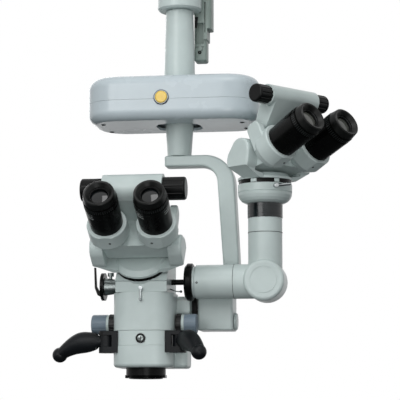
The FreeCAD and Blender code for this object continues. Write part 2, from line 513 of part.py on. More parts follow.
pin = V(AXIS_X + HEAD_HALF_X + 9, HEAD_FRONT + 16, HANDLE_PIVOT_Z - 3)
hub = block((AXIS_X + 32, pin.x + HUB_R), (pin.y - HUB_HALF, pin.y + HUB_HALF), (HANDLE_PIVOT_Z - HUB_DROP, HEAD_BOTTOM - 0.6))
hub = hub.makeFillet(HUB_R - 0.5, [e for e in hub.Edges if abs(e.tangentAt(e.FirstParameter).z) > 0.99 and e.BoundBox.XMin > pin.x])
hub = hub.cut(head_case(pin.z - 50, pin.z + 50))
fork_z = (pin.z - FORK_HALF, pin.z + FORK_HALF)
hub = hub.cut(block((pin.x - KNUCKLE_R - 0.5, pin.x + 20), (pin.y - 20, pin.y + 20), fork_z))
hub = hub.fuse(cylinder(3, V(pin.x, pin.y, fork_z[0] - 1), V(pin.x, pin.y, fork_z[1] + 1)))
right_hub = [s for s in hub.removeSplitter().Solids if s.Volume > 500]
hubs = Part.makeCompound(right_hub + [mirror_x(s) for s in right_hub])
save("handle_hubs", hubs)


def grip(yaw):
    """Moulded grip that leaves the pin outward: knuckle, waist, palm swell and rounded tip."""
    sections = []
    for along, rise, half_w, half_h in GRIP_STATIONS:
        ellipse = Part.Ellipse(ORIGIN, half_h, half_w)
        wire = Part.Wire(ellipse.toShape())
        flat = FreeCAD.Rotation(Z_AXIS, 90)
        upright = FreeCAD.Rotation(V(0, 1, 0), V(0, 0, 1), V(1, 0, 0), "ZXY")
        wire.Placement = FreeCAD.Placement(V(along, 0, rise), upright.multiply(flat))
        sections.append(wire)
    body = Part.makeLoft(sections, True)
    tip_at, tip_rise, tip_w, tip_h = GRIP_STATIONS[-1]
    tip = Part.makeSphere(tip_h + 0.3, V(tip_at - 0.5, 0, tip_rise))
    knuckle = cylinder(KNUCKLE_R, V(0, 0, -KNUCKLE_HALF), V(0, 0, KNUCKLE_HALF))
    reach = HUB_R + 5
    body = body.fuse(tip)
    for z in ((KNUCKLE_HALF - 0.1, 30), (-30, -KNUCKLE_HALF + 0.1)):
        body = body.cut(cylinder(reach, V(0, 0, z[0]), V(0, 0, z[1])))
    solid = body.fuse(knuckle).cut(cylinder(3 + SLIDE_GAP, V(0, 0, -20), V(0, 0, 20)))
    solid.rotate(ORIGIN, Z_AXIS, yaw)
    solid.translate(pin)
    return solid


save("right_handle", grip(RIGHT_GRIP_YAW))
save("left_handle", mirror_x(grip(LEFT_GRIP_YAW)))

# Beam splitter: case on top of the zoom body whose sloping top carries the binocular
main_axis = V(0, -math.sin(math.radians(MAIN_LEAN)), math.cos(math.radians(MAIN_LEAN)))
main_along = V(0, -math.cos(math.radians(MAIN_LEAN)), -math.sin(math.radians(MAIN_LEAN)))
low = MAIN_SEAT + main_along * (FLARE_R - 3)
high = MAIN_SEAT - main_along * (FLARE_R - 3)
splitter = side_profile([(HEAD_FRONT + 2.5, HEAD_TOP + SEAM_GAP), (low.y + 2, low.z - 1), (low.y, low.z), (high.y, high.z),
                         (high.y + 16, high.z - 6), (HEAD_BACK - 4, high.z - 22), (HEAD_BACK - 4, HEAD_TOP + SEAM_GAP)],
                        (AXIS_X - SPLITTER_HALF, AXIS_X + SPLITTER_HALF))
splitter = splitter.fuse(cylinder(FLARE_R - 1, MAIN_SEAT - main_axis * 10, MAIN_SEAT))
trim = cylinder(80, MAIN_SEAT, MAIN_SEAT + main_axis * 50)
splitter = splitter.cut(trim).cut(cylinder(14, MAIN_SEAT - main_axis * 22, MAIN_SEAT + main_axis))
save("beam_splitter", splitter.removeSplitter())

# Camera port on the left: tapered mount, ring with its lever
port_z = -432.0
left_face = AXIS_X - SPLITTER_HALF
port = cone(9, 12, V(left_face, AXIS_Y, port_z), V(PORT_RING_X + 3, AXIS_Y, port_z)).fuse(
    cylinder(8, V(PORT_RING_X + 3, AXIS_Y, port_z), V(PORT_RING_X - 2.2, AXIS_Y, port_z)))
port = port.fuse(cylinder(2, V(-88, AXIS_Y, port_z + 8), V(-88, AXIS_Y, port_z + 14))).fuse(
    cylinder(4.2, V(-88, AXIS_Y, port_z + 14), V(-88, AXIS_Y, port_z + 19)))
save("camera_port", port.cut(cylinder(6, V(left_face - 10, AXIS_Y, port_z), V(PORT_RING_X - 5, AXIS_Y, port_z))))
ring_a = V(PORT_RING_X - 2, AXIS_Y, port_z)
ring_b = V(PORT_RING_X + 2.4, AXIS_Y, port_z)
port_ring = tube(PORT_RING_R, 8 + SLIDE_GAP, ring_a, ring_b)
lever_y = AXIS_Y - 6
lever = plate_profile([(PORT_RING_X + 1, port_z - 16), (PORT_RING_X - 7, port_z - 12), (PORT_RING_X - 11, port_z - 2),
                       (PORT_RING_X - 12, port_z + 26), (PORT_RING_X - 9.4, port_z + 26), (PORT_RING_X - 8, port_z),
                       (PORT_RING_X - 4, port_z - 7), (PORT_RING_X + 1, port_z - 9)], (lever_y - 1.5, lever_y + 1.5))
save("camera_port_ring", port_ring.fuse(lever))

# Observer port on the right: slender tube, union ring and the horizontal tube of the observer's arm
right_face = AXIS_X + SPLITTER_HALF
port = tube(PORT_ROD_R, 2, V(right_face, AXIS_Y, TUBE_Z), V(UNION_X[0] + 3, AXIS_Y, TUBE_Z))
wall = 3.0
union = turned([(2, 0), (UNION_R - 3, 0), (UNION_R, 3), (UNION_R, UNION_X[1] - UNION_X[0] - 1.5), (UNION_R - 1.5, UNION_X[1] - UNION_X[0]),
                (20, UNION_X[1] - UNION_X[0]), (20, wall), (2, wall)], V(UNION_X[0], AXIS_Y, TUBE_Z), X_AXIS)
save("union_ring", union.fuse(port).removeSplitter())
spigot = 19.95
tube_start = UNION_X[1] + 0.4
obs_tube = turned([(16, UNION_X[0] + wall + LOOSE_GAP), (spigot, UNION_X[0] + wall + LOOSE_GAP), (spigot, tube_start), (TUBE_R - 2, tube_start),
                   (TUBE_R - 2, tube_start + 2.5), (TUBE_R, tube_start + 4), (TUBE_R, ELBOW_JOINT_X), (16, ELBOW_JOINT_X)],
                  V(0, AXIS_Y, TUBE_Z), X_AXIS)
save("observer_tube", obs_tube)

# Elbow: tube end, round mirror case with its cover disc, upright stub
elbow_c = V(RISER_X, AXIS_Y, TUBE_Z)
elbow = cylinder(TUBE_R + 0.3, V(ELBOW_JOINT_X + 0.4, AXIS_Y, TUBE_Z), elbow_c)
case_start, case_end = V(RISER_X, AXIS_Y - ELBOW_HALF_Y, TUBE_Z), V(RISER_X, AXIS_Y + ELBOW_HALF_Y, TUBE_Z)
drum = cylinder(ELBOW_R, case_start, case_end)
drum = drum.makeFillet(5, [e for e in drum.Edges if e.Closed])
stub_top = V(RISER_X, AXIS_Y, SWIVEL_Z - SEAM_GAP)
elbow = elbow.fuse(drum).fuse(cylinder(TUBE_R, elbow_c, stub_top))
elbow = elbow.cut(cylinder(16, V(ELBOW_JOINT_X - 1, AXIS_Y, TUBE_Z), elbow_c)).cut(cylinder(16, elbow_c, stub_top + Z_AXIS))
elbow = elbow.cut(cylinder(18 + SLIDE_GAP, stub_top - Z_AXIS * 12, stub_top + Z_AXIS))
elbow = elbow.cut(tube(18.5, 17.7, case_start - Y_AXIS, case_start + Y_AXIS * 0.8))
save("observer_elbow", elbow)

# Riser: turns in the stub; the black rotator ring runs on its neck; the flared receptacle tops it
ring_core = 19.5
riser = turned([(14, SWIVEL_Z - 11), (18, SWIVEL_Z - 11), (18, SWIVEL_Z), (TUBE_R, SWIVEL_Z), (TUBE_R, ROTATOR_Z[0] - LOOSE_GAP),
                (ring_core, ROTATOR_Z[0] - LOOSE_GAP), (ring_core, ROTATOR_Z[1] + LOOSE_GAP), (14, ROTATOR_Z[1] + LOOSE_GAP)],
               V(RISER_X, AXIS_Y, 0))
save("observer_riser", riser)
rotator = tube(TUBE_R + 0.8, ring_core + SLIDE_GAP, V(RISER_X, AXIS_Y, ROTATOR_Z[0]), V(RISER_X, AXIS_Y, ROTATOR_Z[1]))
groove_z = (ROTATOR_Z[0] + ROTATOR_Z[1]) / 2
for height in (groove_z - 5, groove_z + 5):
    rotator = rotator.cut(tube(TUBE_R + 2, TUBE_R + 0.3, V(RISER_X, AXIS_Y, height - 0.5), V(RISER_X, AXIS_Y, height + 0.5)))
save("rotator_ring", rotator)
bowl = [(FLARE_R, 0), (FLARE_R, 10), (FLARE_R - 0.8, 10.6), (FLARE_R, 11.4), (FLARE_R - 0.6, 15), (FLARE_R - 2.4, 19),
        (FLARE_R - 5.6, 22.6), (FLARE_R - 10, 24.8), (TUBE_R, FLARE_TOP - ROTATOR_Z[1] - LOOSE_GAP)]
outline = [(14, ROTATOR_Z[1] + LOOSE_GAP)] + [(r, FLARE_TOP - down) for r, down in reversed(bowl)] + [(14, FLARE_TOP)]
receptacle = turned(outline, V(RISER_X, AXIS_Y, 0))
turn_y = FreeCAD.Rotation(Z_AXIS, OBSERVER_YAW)
front = turn_y.multVec(V(math.sin(math.radians(-24)), -math.cos(math.radians(-24)), 0))
screw_at = V(RISER_X, AXIS_Y, FLARE_TOP - 5) + front * (FLARE_R - 4)
receptacle = receptacle.cut(cylinder(2 + SLIDE_GAP, screw_at, screw_at + front * 10))
save("observer_receptacle", receptacle)
clamp = cylinder(2, screw_at + front * 0.5, screw_at + front * 6).fuse(ribbed_knob(3.2, 6, 12, 0.5, screw_at + front * 4.6, front, 0.6))
save("observer_clamp_screw", clamp)

# Lock lever of the main binocular: boss on the splitter's front with a thin lever that hangs from it
lever_top = V(AXIS_X, HEAD_FRONT - 0.6, HEAD_TOP + 5.5)
lever = cylinder(2.6, lever_top + V(0, 2.1, 0), lever_top - Y_AXIS * 3)
lever = lever.fuse(cone(1.5, 1.1, lever_top - Y_AXIS * 1.6, lever_top - Y_AXIS * 1.6 - Z_AXIS * 15))
lever = lever.fuse(Part.makeSphere(2.2, lever_top - Y_AXIS * 1.6 - Z_AXIS * 15.5))
save("main_lock_lever", lever)


# Binocular: base with two ears, tilting housing, sliding eyepiece holders and the pupil-distance knobs


def joined_rounds(first, second, x):
    """Plate around two round ends, each given as (forward, up, radius), between two X limits."""
    (a1, u1, r1), (a2, u2, r2) = first, second
    apart = math.hypot(a2 - a1, u2 - u1)
    heading = math.atan2(u2 - u1, a2 - a1)
    spread = math.acos((r1 - r2) / apart)
    corners = []
    for a, u, r, sign in ((a1, u1, r1, 1), (a2, u2, r2, 1), (a2, u2, r2, -1), (a1, u1, r1, -1)):
        angle = heading + sign * spread
        corners.append((-a - r * math.cos(angle), u + r * math.sin(angle)))
    plate = side_profile(corners, x)
    for a, u, r in (first, second):
        plate = plate.fuse(cylinder(r, V(x[0], -a, u), V(x[1], -a, u)))
    return plate.removeSplitter()


def binocular(prefix, seat, angles, bar, knob):
    """Writes one binocular; its seat is the centre of the round seam under it."""
    lean, lift, yaw = angles
    bar_a, bar_u, bar_r, bar_half = bar
    knob_r, knob_length = knob
    place_base = FreeCAD.Placement(seat, FreeCAD.Rotation(Z_AXIS, yaw).multiply(FreeCAD.Rotation(X_AXIS, lean)))
    pivot = place_base.multVec(V(0, 0, PIVOT_RISE))
    place_body = FreeCAD.Placement(pivot, FreeCAD.Rotation(Z_AXIS, yaw).multiply(FreeCAD.Rotation(X_AXIS, -lift)))

    def put(name, shape, place):
        done = shape.copy()
        done.Placement = place.multiply(done.Placement)
        save(prefix + name, done)

    put("_lock_ring", tube(FLARE_R - 1.2, 14, ORIGIN, V(0, 0, LOCK_T)), place_base)

    base = cylinder(FLARE_R, V(0, 0, LOCK_T), V(0, 0, LOCK_T + 3))
    base = base.fuse(cone(FLARE_R - 0.8, PEDESTAL_R, V(0, 0, LOCK_T + 3), V(0, 0, PEDESTAL_TOP)))
    ear_top = PIVOT_RISE + EAR_REACH
    ear_outline = [(28, LOCK_T), (FLARE_R - 2, LOCK_T), (EAR_OUTER, LOCK_T + 14), (EAR_OUTER, ear_top), (EAR_INNER, ear_top),
                   (EAR_INNER, PEDESTAL_TOP), (28, PEDESTAL_TOP - 3)]
    ear = plate_profile(ear_outline, (-EAR_REACH, EAR_REACH))
    rounds = joined_rounds(EAR_LOW, EAR_HIGH, (0, EAR_OUTER))
    rounds = rounds.makeFillet(EAR_EDGE_R, [e for e in rounds.Edges if e.BoundBox.XMin > EAR_OUTER - 0.01])
    ear_foot = side_profile([(2, 0), (10, 20), (-25, 20), (-24, 0)], (0, EAR_OUTER))
    ear = ear.common(rounds.fuse(ear_foot)).removeSplitter()
    ear = ear.fuse(cylinder(PIVOT_PIN_R, V(EAR_INNER - 6, 0, PIVOT_RISE), V(EAR_INNER + 1, 0, PIVOT_RISE)))
    base = base.fuse(ear).fuse(ear.mirror(ORIGIN, X_AXIS)).cut(cylinder(LIGHT_BORE_R, V(0, 6, 0), V(0, 6, PIVOT_RISE)))
    put("_bino_base", base.removeSplitter(), place_base)

    slide_face = EAR_REACH + 0.4
    drum_half = EAR_INNER - 0.5
    shell_top = BARREL_U + SHELL_R + 0.6
    core = cylinder(DRUM_R, V(-drum_half, 0, 0), V(drum_half, 0, 0))
    flank = [(0, -DRUM_R), (-slide_face, -22), (-slide_face, 17), (-10, DRUM_R), (0, DRUM_R)]
    core = core.fuse(side_profile(flank, (-drum_half, drum_half)))
    saddle = joined_rounds((24, 12, 8), (bar_a, bar_u, bar_r), (-SADDLE_HALF, SADDLE_HALF))
    core = core.fuse(saddle.cut(block((-80, 80), (-130, -slide_face), (-60, shell_top))))
    bar_l, bar_r_end = V(-bar_half, -bar_a, bar_u), V(bar_half, -bar_a, bar_u)
    core = core.fuse(cylinder(bar_r, bar_l, bar_r_end))
    core = core.cut(cylinder(4 + SLIDE_GAP, bar_l - X_AXIS, bar_r_end + X_AXIS))
    for side in (-1, 1):
        socket = sorted((side * (EAR_INNER - 6 - LOOSE_GAP), side * (EAR_INNER + 1)))
        core = core.cut(cylinder(PIVOT_PIN_R + SLIDE_GAP, V(socket[0], 0, 0), V(socket[1], 0, 0)))
        rail_x = sorted((side * (HALF_PUPIL - RAIL_HALF_X), side * (HALF_PUPIL + RAIL_HALF_X)))
        core = core.fuse(block(rail_x, (-slide_face - RAIL_T, -slide_face + 1), (BARREL_U - RAIL_HALF_U, BARREL_U + RAIL_HALF_U)))
    put("_housing", core.removeSplitter(), place_body)

    knobs = cylinder(4, bar_l - X_AXIS * 3, bar_r_end + X_AXIS * 3)
    for side, start in ((-1, bar_l), (1, bar_r_end)):
        knobs = knobs.fuse(ribbed_knob(knob_r, knob_length, 12, 1.8, start + X_AXIS * side * 0.4, V(side, 0, 0), 3))
    put("_ipd_knobs", knobs, place_body)

    for name, side in (("_left", -1), ("_right", 1)):
        axis_at = V(side * HALF_PUPIL, 0, BARREL_U)

        def along(a):
            return axis_at - Y_AXIS * a

        back = slide_face + LOOSE_GAP
        holder = turned([(0, 0), (SHELL_R - 5, 0), (SHELL_R, 9), (SHELL_R, BARREL_A - back), (BARREL_R, BARREL_A - back),
                         (BARREL_R, BARREL_A - back - SOCKET), (0, BARREL_A - back - SOCKET)], along(back), -Y_AXIS)
        holder = holder.makeFillet(2, [e for e in holder.Edges if e.Closed and abs(e.BoundBox.YMin + BARREL_A) < 0.01
                                       and e.BoundBox.XLength > 2 * BARREL_R + 4])
        holder = holder.cut(block((axis_at.x - 40, axis_at.x + 40), (-BARREL_A - 1, -back + 1), (-80, BARREL_U - HOLDER_UNDER)))
        cheek_out = side * (HALF_PUPIL + SHELL_R - 2.5)
        cheek_top = BARREL_U + SHELL_R + CHEEK_RISE
        cheek = block(sorted((cheek_out, cheek_out - side * CHEEK_T)), (-BARREL_A + 7, -back), (BARREL_U, cheek_top))
        cheek = cheek.makeFillet(CHEEK_CORNER_R, [e for e in cheek.Edges if e.BoundBox.XLength > 1 and e.BoundBox.ZMin > cheek_top - 0.1])
        rim = [e for e in cheek.Edges if e.BoundBox.XLength < 0.01 and abs(e.CenterOfMass.x - cheek_out) < 0.01 and e.BoundBox.ZMax > BARREL_U + 0.1]
        cheek = cheek.makeFillet(2.5, rim)
        cheek = cheek.cut(cylinder(BARREL_R, along(back), along(BARREL_A)))
        holder = holder.fuse(cheek)
        way_x = sorted((side * (HALF_PUPIL - RAIL_HALF_X - PUPIL_OUT - LOOSE_GAP), side * (HALF_PUPIL + RAIL_HALF_X + PUPIL_IN + LOOSE_GAP)))
        way_u = (BARREL_U - RAIL_HALF_U - SLIDE_GAP, BARREL_U + RAIL_HALF_U + SLIDE_GAP)
        holder = holder.cut(block(way_x, (-slide_face - RAIL_T - LOOSE_GAP, -back + 1), way_u))
        put(name + "_holder", holder.removeSplitter(), place_body)

        body_end = BARREL_A + BARREL_LENGTH - 20
        neck_end = BARREL_A + BARREL_LENGTH - 6
        barrel = cylinder(BARREL_R, along(BARREL_A - SOCKET), along(BARREL_A + 2))
        barrel = barrel.fuse(cone(BARREL_R, BARREL_TOP_R, along(BARREL_A + 2), along(body_end)))
        barrel = barrel.fuse(cylinder(16.5, along(body_end), along(neck_end)))
        barrel = barrel.cut(cylinder(13, along(neck_end - 5), along(neck_end + 1)))
        put(name + "_eyepiece", barrel.removeSplitter(), place_body)

        ring_start, ring_end = body_end + LOOSE_GAP, body_end + 8
        put(name + "_diopter", tube(BARREL_TOP_R - 0.8, 16.5 + SLIDE_GAP, along(ring_start), along(ring_end)), place_body)

        cup_start = ring_end + LOOSE_GAP
        cup_len = BARREL_A + BARREL_LENGTH - cup_start
        cup = turned([(16.5, 0), (EYECUP_R, 0), (EYECUP_R + 0.6, 1.5), (EYECUP_R - 0.8, cup_len - 1.2), (EYECUP_R - 2, cup_len),
                      (EYECUP_R - 4, cup_len - 0.6), (13.5, neck_end - cup_start + 1), (13.5, neck_end - cup_start), (16.5, neck_end - cup_start)],
                     along(cup_start), -Y_AXIS)
        put(name + "_eyecup", cup, place_body)
    return pivot


binocular("main", MAIN_SEAT, MAIN_ANGLES, MAIN_BAR, MAIN_KNOB)
binocular("observer", OBSERVER_SEAT, OBSERVER_ANGLES, OBSERVER_BAR, OBSERVER_KNOB)
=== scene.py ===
import bpy
import bmesh
import math
from mathutils import Matrix, Vector


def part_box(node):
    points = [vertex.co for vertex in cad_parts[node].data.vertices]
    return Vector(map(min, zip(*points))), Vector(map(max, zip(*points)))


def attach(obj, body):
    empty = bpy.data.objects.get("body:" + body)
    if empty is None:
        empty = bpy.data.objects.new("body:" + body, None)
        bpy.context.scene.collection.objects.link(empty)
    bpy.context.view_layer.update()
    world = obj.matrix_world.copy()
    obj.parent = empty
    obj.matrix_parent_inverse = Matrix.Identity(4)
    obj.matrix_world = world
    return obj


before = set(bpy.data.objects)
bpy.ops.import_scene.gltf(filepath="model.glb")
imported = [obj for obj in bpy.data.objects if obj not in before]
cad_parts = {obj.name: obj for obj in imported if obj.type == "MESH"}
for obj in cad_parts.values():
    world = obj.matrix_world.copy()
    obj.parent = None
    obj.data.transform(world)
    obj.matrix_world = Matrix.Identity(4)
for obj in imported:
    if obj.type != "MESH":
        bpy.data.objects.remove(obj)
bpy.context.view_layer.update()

# Painted castings: sleeve, column, neck, bent arm, head cases, observer's tube and binocular bodies.
# They are die-cast and milled aluminium with a pale grey-green satin powder coat.
# The coat has soft, slightly darker patches and the fine orange peel of such paint.


def linear(code):
    """Linear colour from an sRGB hex code."""
    parts = [int(code[i:i + 2], 16) / 255 for i in (0, 2, 4)]
    return tuple(c / 12.92 if c <= 0.04045 else ((c + 0.055) / 1.055) ** 2.4 for c in parts) + (1.0,)


def add(tree, kind, settings=None, **links):
    """Adds a node; settings fill its colour stops, properties or unlinked inputs, links feed its inputs."""
    node = tree.nodes.new(kind)
    for key, value in (settings or {}).items():
        if key == "stops":
            band = node.color_ramp.elements
            while len(band) < len(value):
                band.new(0.5)
            for element, (place, code) in zip(band, value):
                element.position = place
                element.color = linear(code)
        elif isinstance(key, int) or key in node.inputs:
            node.inputs[key].default_value = value
        else:
            setattr(node, key, value)
    for key, source in links.items():
        tree.links.new(source, node.inputs[key.replace("_", " ")])
    return node


def new_material(name):
    """Empty node material with its output and one principled surface."""
    material = bpy.data.materials.new(name)
    material.use_nodes = True
    tree = material.node_tree
    tree.nodes.clear()
    surface = add(tree, "ShaderNodeBsdfPrincipled")
    add(tree, "ShaderNodeOutputMaterial", {}, Surface=surface.outputs["BSDF"])
    return material, tree, surface


def coated(name, light, dark, patch_mm, grain_mm, rough, spread, bump_mm,
           coat=0.0, metallic=0.0, specular=0.5):
    """Finish with soft patches between two colours, uneven gloss and a fine grain in the surface."""
    material, tree, surface = new_material(name)
    place = add(tree, "ShaderNodeTexCoord")
    patches = add(tree, "ShaderNodeTexNoise", {"Scale": 1000 / patch_mm, "Detail": 4.0, "Roughness": 0.55},
                  Vector=place.outputs["Object"])
    grain = add(tree, "ShaderNodeTexNoise", {"Scale": 1000 / grain_mm, "Detail": 2.0},
                Vector=place.outputs["Object"])
    shades = {"stops": [(0.32, dark), (0.62, light)]}
    tone = add(tree, "ShaderNodeValToRGB", shades, Fac=patches.outputs["Fac"])
    gloss = add(tree, "ShaderNodeMapRange",
                {"From Min": 0.3, "From Max": 0.7, "To Min": rough - spread, "To Max": rough + spread},
                Value=patches.outputs["Fac"])
    relief = add(tree, "ShaderNodeBump", {"Strength": 0.35, "Distance": bump_mm / 1000},
                 Height=grain.outputs["Fac"])
    tree.links.new(tone.outputs["Color"], surface.inputs["Base Color"])
    tree.links.new(gloss.outputs["Result"], surface.inputs["Roughness"])
    tree.links.new(relief.outputs["Normal"], surface.inputs["Normal"])
    surface.inputs["Metallic"].default_value = metallic
    surface.inputs["Specular IOR Level"].default_value = specular
    surface.inputs["Coat Weight"].default_value = coat
    surface.inputs["Coat Roughness"].default_value = 0.18
    return material


def dress(names, material):
    """Gives CAD nodes one material on all their faces."""
    for name in names:
        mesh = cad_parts[name].data
        mesh.materials.clear()
        mesh.materials.append(material)


castings = coated("satin_powder_coat", "C2CECC", "B7C3C1", patch_mm=60, grain_mm=0.9, rough=0.36,
                  spread=0.05, bump_mm=0.02, coat=0.1, specular=0.35)
dress(["arm_sleeve", "column", "neck", "carrier_arm", "focus_housing", "tilt_knob", "head_bracket",
       "zoom_body", "beam_splitter", "handle_collar", "lower_body", "observer_tube", "observer_elbow",
       "observer_riser", "observer_receptacle", "main_bino_base", "observer_bino_base", "main_housing",
       "observer_housing", "main_left_holder", "main_right_holder", "observer_left_holder",
       "observer_right_holder"], castings)

# End of the spring arm behind the column: a cast shell in a grey-green coat, painted darker than the
# castings as painted shade.
# A thin black plate of painted shade fills the slot on its front, and a black socket screw holds the lower
# cap.

# The shell's coat is darker than the castings' coat: painted shade, as the shell sits behind the column.
shell_coat_with_shade = coated("shaded_grey_green_powder_coat", "84918B", "75817C", patch_mm=45, grain_mm=0.9, rough=0.42,
                    spread=0.05, bump_mm=0.02, specular=0.3)
dress(["arm_shell"], shell_coat_with_shade)


def new_piece(name, shape, material, body, smooth=True):
    """Turns a bmesh into an object at the origin that rides on a body."""
    bmesh.ops.recalc_face_normals(shape, faces=shape.faces)
    mesh = bpy.data.meshes.new(name)
    shape.to_mesh(mesh)
    shape.free()
    mesh.materials.append(material)
    for face in mesh.polygons:
        face.use_smooth = smooth
    piece = bpy.data.objects.new(name, mesh)
    bpy.context.scene.collection.objects.link(piece)
    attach(piece, body)
    return piece


def plate(outline, depth, matrix, bevel=0.0):
    """Closed plate from an outline in X and Y, with its thickness along Z, placed by a matrix."""
    shape = bmesh.new()
    low = [shape.verts.new((x, y, depth[0])) for x, y in outline]
    high = [shape.verts.new((x, y, depth[1])) for x, y in outline]
    shape.faces.new(low)
    shape.faces.new(high)
    for i in range(len(outline)):
        j = (i + 1) % len(outline)
        shape.faces.new((low[i], low[j], high[j], high[i]))
    if bevel:
        bmesh.ops.bevel(shape, geom=shape.edges[:], offset=bevel, segments=2, affect="EDGES", profile=0.5)
    bmesh.ops.transform(shape, matrix=matrix, verts=shape.verts)
    return shape


def spun(profile, matrix, steps=64):
    """Closed turned solid from (radius, height) points, placed by a matrix whose Z is its axis."""
    shape = bmesh.new()
    rings = []
    for radius, height in profile:
        if radius < 1e-7:
            rings.append([shape.verts.new(matrix @ Vector((0, 0, height)))])
            continue
        turn = [2 * math.pi * i / steps for i in range(steps)]
        rings.append([shape.verts.new(matrix @ Vector((radius * math.cos(a), radius * math.sin(a), height)))
                      for a in turn])
    for here, there in zip(rings, rings[1:] + rings[:1]):
        if len(here) == 1 and len(there) == 1:
            continue
        for i in range(steps):
            j = (i + 1) % steps
            loop = [here[i % len(here)], here[j % len(here)], there[j % len(there)], there[i % len(there)]]
            shape.faces.new(list(dict.fromkeys(loop)))
    return shape


def facing(spot, direction):
    """Matrix at a point in metres whose Z looks along a direction."""
    return Matrix.Translation(spot) @ Vector(direction).to_track_quat("Z", "Y").to_matrix().to_4x4()


def screw_head(radius, rise, socket):
    """Profile of a button-head screw with a round socket, sunk a little in what it holds."""
    edge = [(radius * math.cos(a), rise * math.sin(a)) for a in (0.0, 0.5, 0.9, 1.2)]
    bottom = -0.4 * rise
    return [(0.0, -rise), (radius, -rise)] + edge + [(socket, rise), (socket, bottom), (0.0, bottom)]


# Matt black finish for pieces of painted shade: the slot plate on the arm and the seam rings of the
# observer's tube.
shade_black = coated("matt_black_painted_shade", "191B1C", "101112", patch_mm=10, grain_mm=0.6, rough=0.6,
                 spread=0.06, bump_mm=0.02, specular=0.2)
black_screw = coated("black_oxide_steel", "141516", "0B0C0C", patch_mm=5, grain_mm=0.4, rough=0.35,
                     spread=0.06, bump_mm=0.005, specular=0.2)
SHELL_FRONT_Y = 0.014
SLOT_SHADE_X, SLOT_SHADE_Z = (0.0195, 0.0245), (-0.0435, -0.0590)
SLOT_SHADE_TAPER = 0.0020
SLOT_SHADE_DEPTH = (-0.0006, 0.0004)
shell_front = Matrix(((1, 0, 0, 0), (0, 0, 1, SHELL_FRONT_Y), (0, 1, 0, 0), (0, 0, 0, 1)))
slot_outline = [(SLOT_SHADE_X[0], SLOT_SHADE_Z[0]), (SLOT_SHADE_X[1], SLOT_SHADE_Z[0]),
                (SLOT_SHADE_X[1] - SLOT_SHADE_TAPER, SLOT_SHADE_Z[1]), (SLOT_SHADE_X[0], SLOT_SHADE_Z[1])]
# The slot plate is painted shade: a thin black plate filling the slot in the shell's front.
slot_filler = plate(slot_outline, SLOT_SHADE_DEPTH, shell_front)
new_piece("arm_slot_shade_plate", slot_filler, shade_black, "arm", smooth=False)
CAP_SCREW_AT = (0.0262, 0.0158, -0.0945)
CAP_SCREW_R, CAP_SCREW_RISE, CAP_SCREW_SOCKET = 0.0026, 0.0012, 0.0013
cap_head = screw_head(CAP_SCREW_R, CAP_SCREW_RISE, CAP_SCREW_SOCKET)
cap_screw = spun(cap_head, facing(CAP_SCREW_AT, (0, -1, 0)), steps=24)
new_piece("arm_cap_screw", cap_screw, black_screw, "arm")

# Pod covers: two injection-moulded shells that meet at the seam, screwed together from below.
# The plastic is a cooler and glossier grey than the paint, and the Y carriage's dust plate matches it.

moulded = coated("gloss_moulded_plastic", "BEC9CE", "B5C0C5", patch_mm=90, grain_mm=1.4, rough=0.26,
                 spread=0.04, bump_mm=0.008, coat=0.15, specular=0.35)
dress(["pod_upper_shell", "pod_lower_shell", "y_carriage"], moulded)
pod_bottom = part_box("pod_lower_shell")[0][2]
POD_SCREW_R, POD_SCREW_RISE, POD_SCREW_SOCKET = 0.0036, 0.0009, 0.0016
POD_SCREWS = (("front_left", -0.102, -0.034), ("rear_left", -0.102, 0.026),
              ("front_right", 0.092, -0.026), ("rear_right", 0.092, 0.022))
for name, x, y in POD_SCREWS:
    pod_head = screw_head(POD_SCREW_R, POD_SCREW_RISE, POD_SCREW_SOCKET)
    head = spun(pod_head, facing((x, y, pod_bottom), (0, 0, -1)), steps=32)
    new_piece("pod_screw_" + name, head, black_screw, "column")

# Reset button: moulded yellow cap that travels in a bezel, which snaps into the pod's front wall.
# The bezel's dark chrome gives the button its bright thin edge.

yellow = coated("yellow_gloss_plastic", "E3BF3C", "D8B02F", patch_mm=9, grain_mm=0.6, rough=0.25,
                spread=0.05, bump_mm=0.01, coat=0.3)
dress(["reset_button"], yellow)
dark_chrome = coated("dark_chrome_plating", "7F8588", "5C6164", patch_mm=14, grain_mm=0.8, rough=0.16,
                     spread=0.05, bump_mm=0.004, metallic=1.0)
dress(["button_bezel"], dark_chrome)

# Black anodised metal: eyepieces, focusing rings, focus carriage, union, port, objective and lock rings.
# They are machined aluminium dyed black, and a fine even grain in the dye breaks up their shine.
# The rotator ring is the same metal, polished, and its lighter bluish base colour is painted sheen.


def turned_black(name, light, dark, rough, specular):
    """Dyed aluminium: near black, with a soft gloss that a fine grain breaks up."""
    return coated(name, light, dark, patch_mm=25, grain_mm=0.5, rough=rough, spread=0.06, bump_mm=0.006,
                  specular=specular)


anodised = turned_black("black_anodised_aluminium", "060706", "030303", rough=0.28, specular=0.1)
dress(["union_ring", "objective_ring", "camera_port_ring", "main_lock_ring", "observer_lock_ring",
       "focus_carriage", "main_left_eyepiece", "main_right_eyepiece", "observer_left_eyepiece",
       "observer_right_eyepiece", "main_left_diopter", "main_right_diopter", "observer_left_diopter",
       "observer_right_diopter"], anodised)
# The rotator ring's lighter bluish base colour is painted sheen.
polished_painted_sheen = turned_black("black_anodising_painted_sheen", "192123", "0F1416", rough=0.2, specular=0.4)
dress(["rotator_ring"], polished_painted_sheen)

# Eyecups: soft black rubber cups, pushed over the necks of the eyepieces.
# The rubber is more matt and a little lighter than the metal, so the rims stand out.

rubber = coated("matt_black_rubber", "0D0F0E", "070807", patch_mm=12, grain_mm=0.7, rough=0.38,
                spread=0.08, bump_mm=0.02, specular=0.22)
dress(["main_left_eyecup", "main_right_eyecup", "observer_left_eyecup", "observer_right_eyecup"], rubber)

# Handles, their hubs and the pupil-distance knobs: moulded glass-filled nylon.
# The handles and hubs have the deeper grain, and the knobs are smoother and blacker.

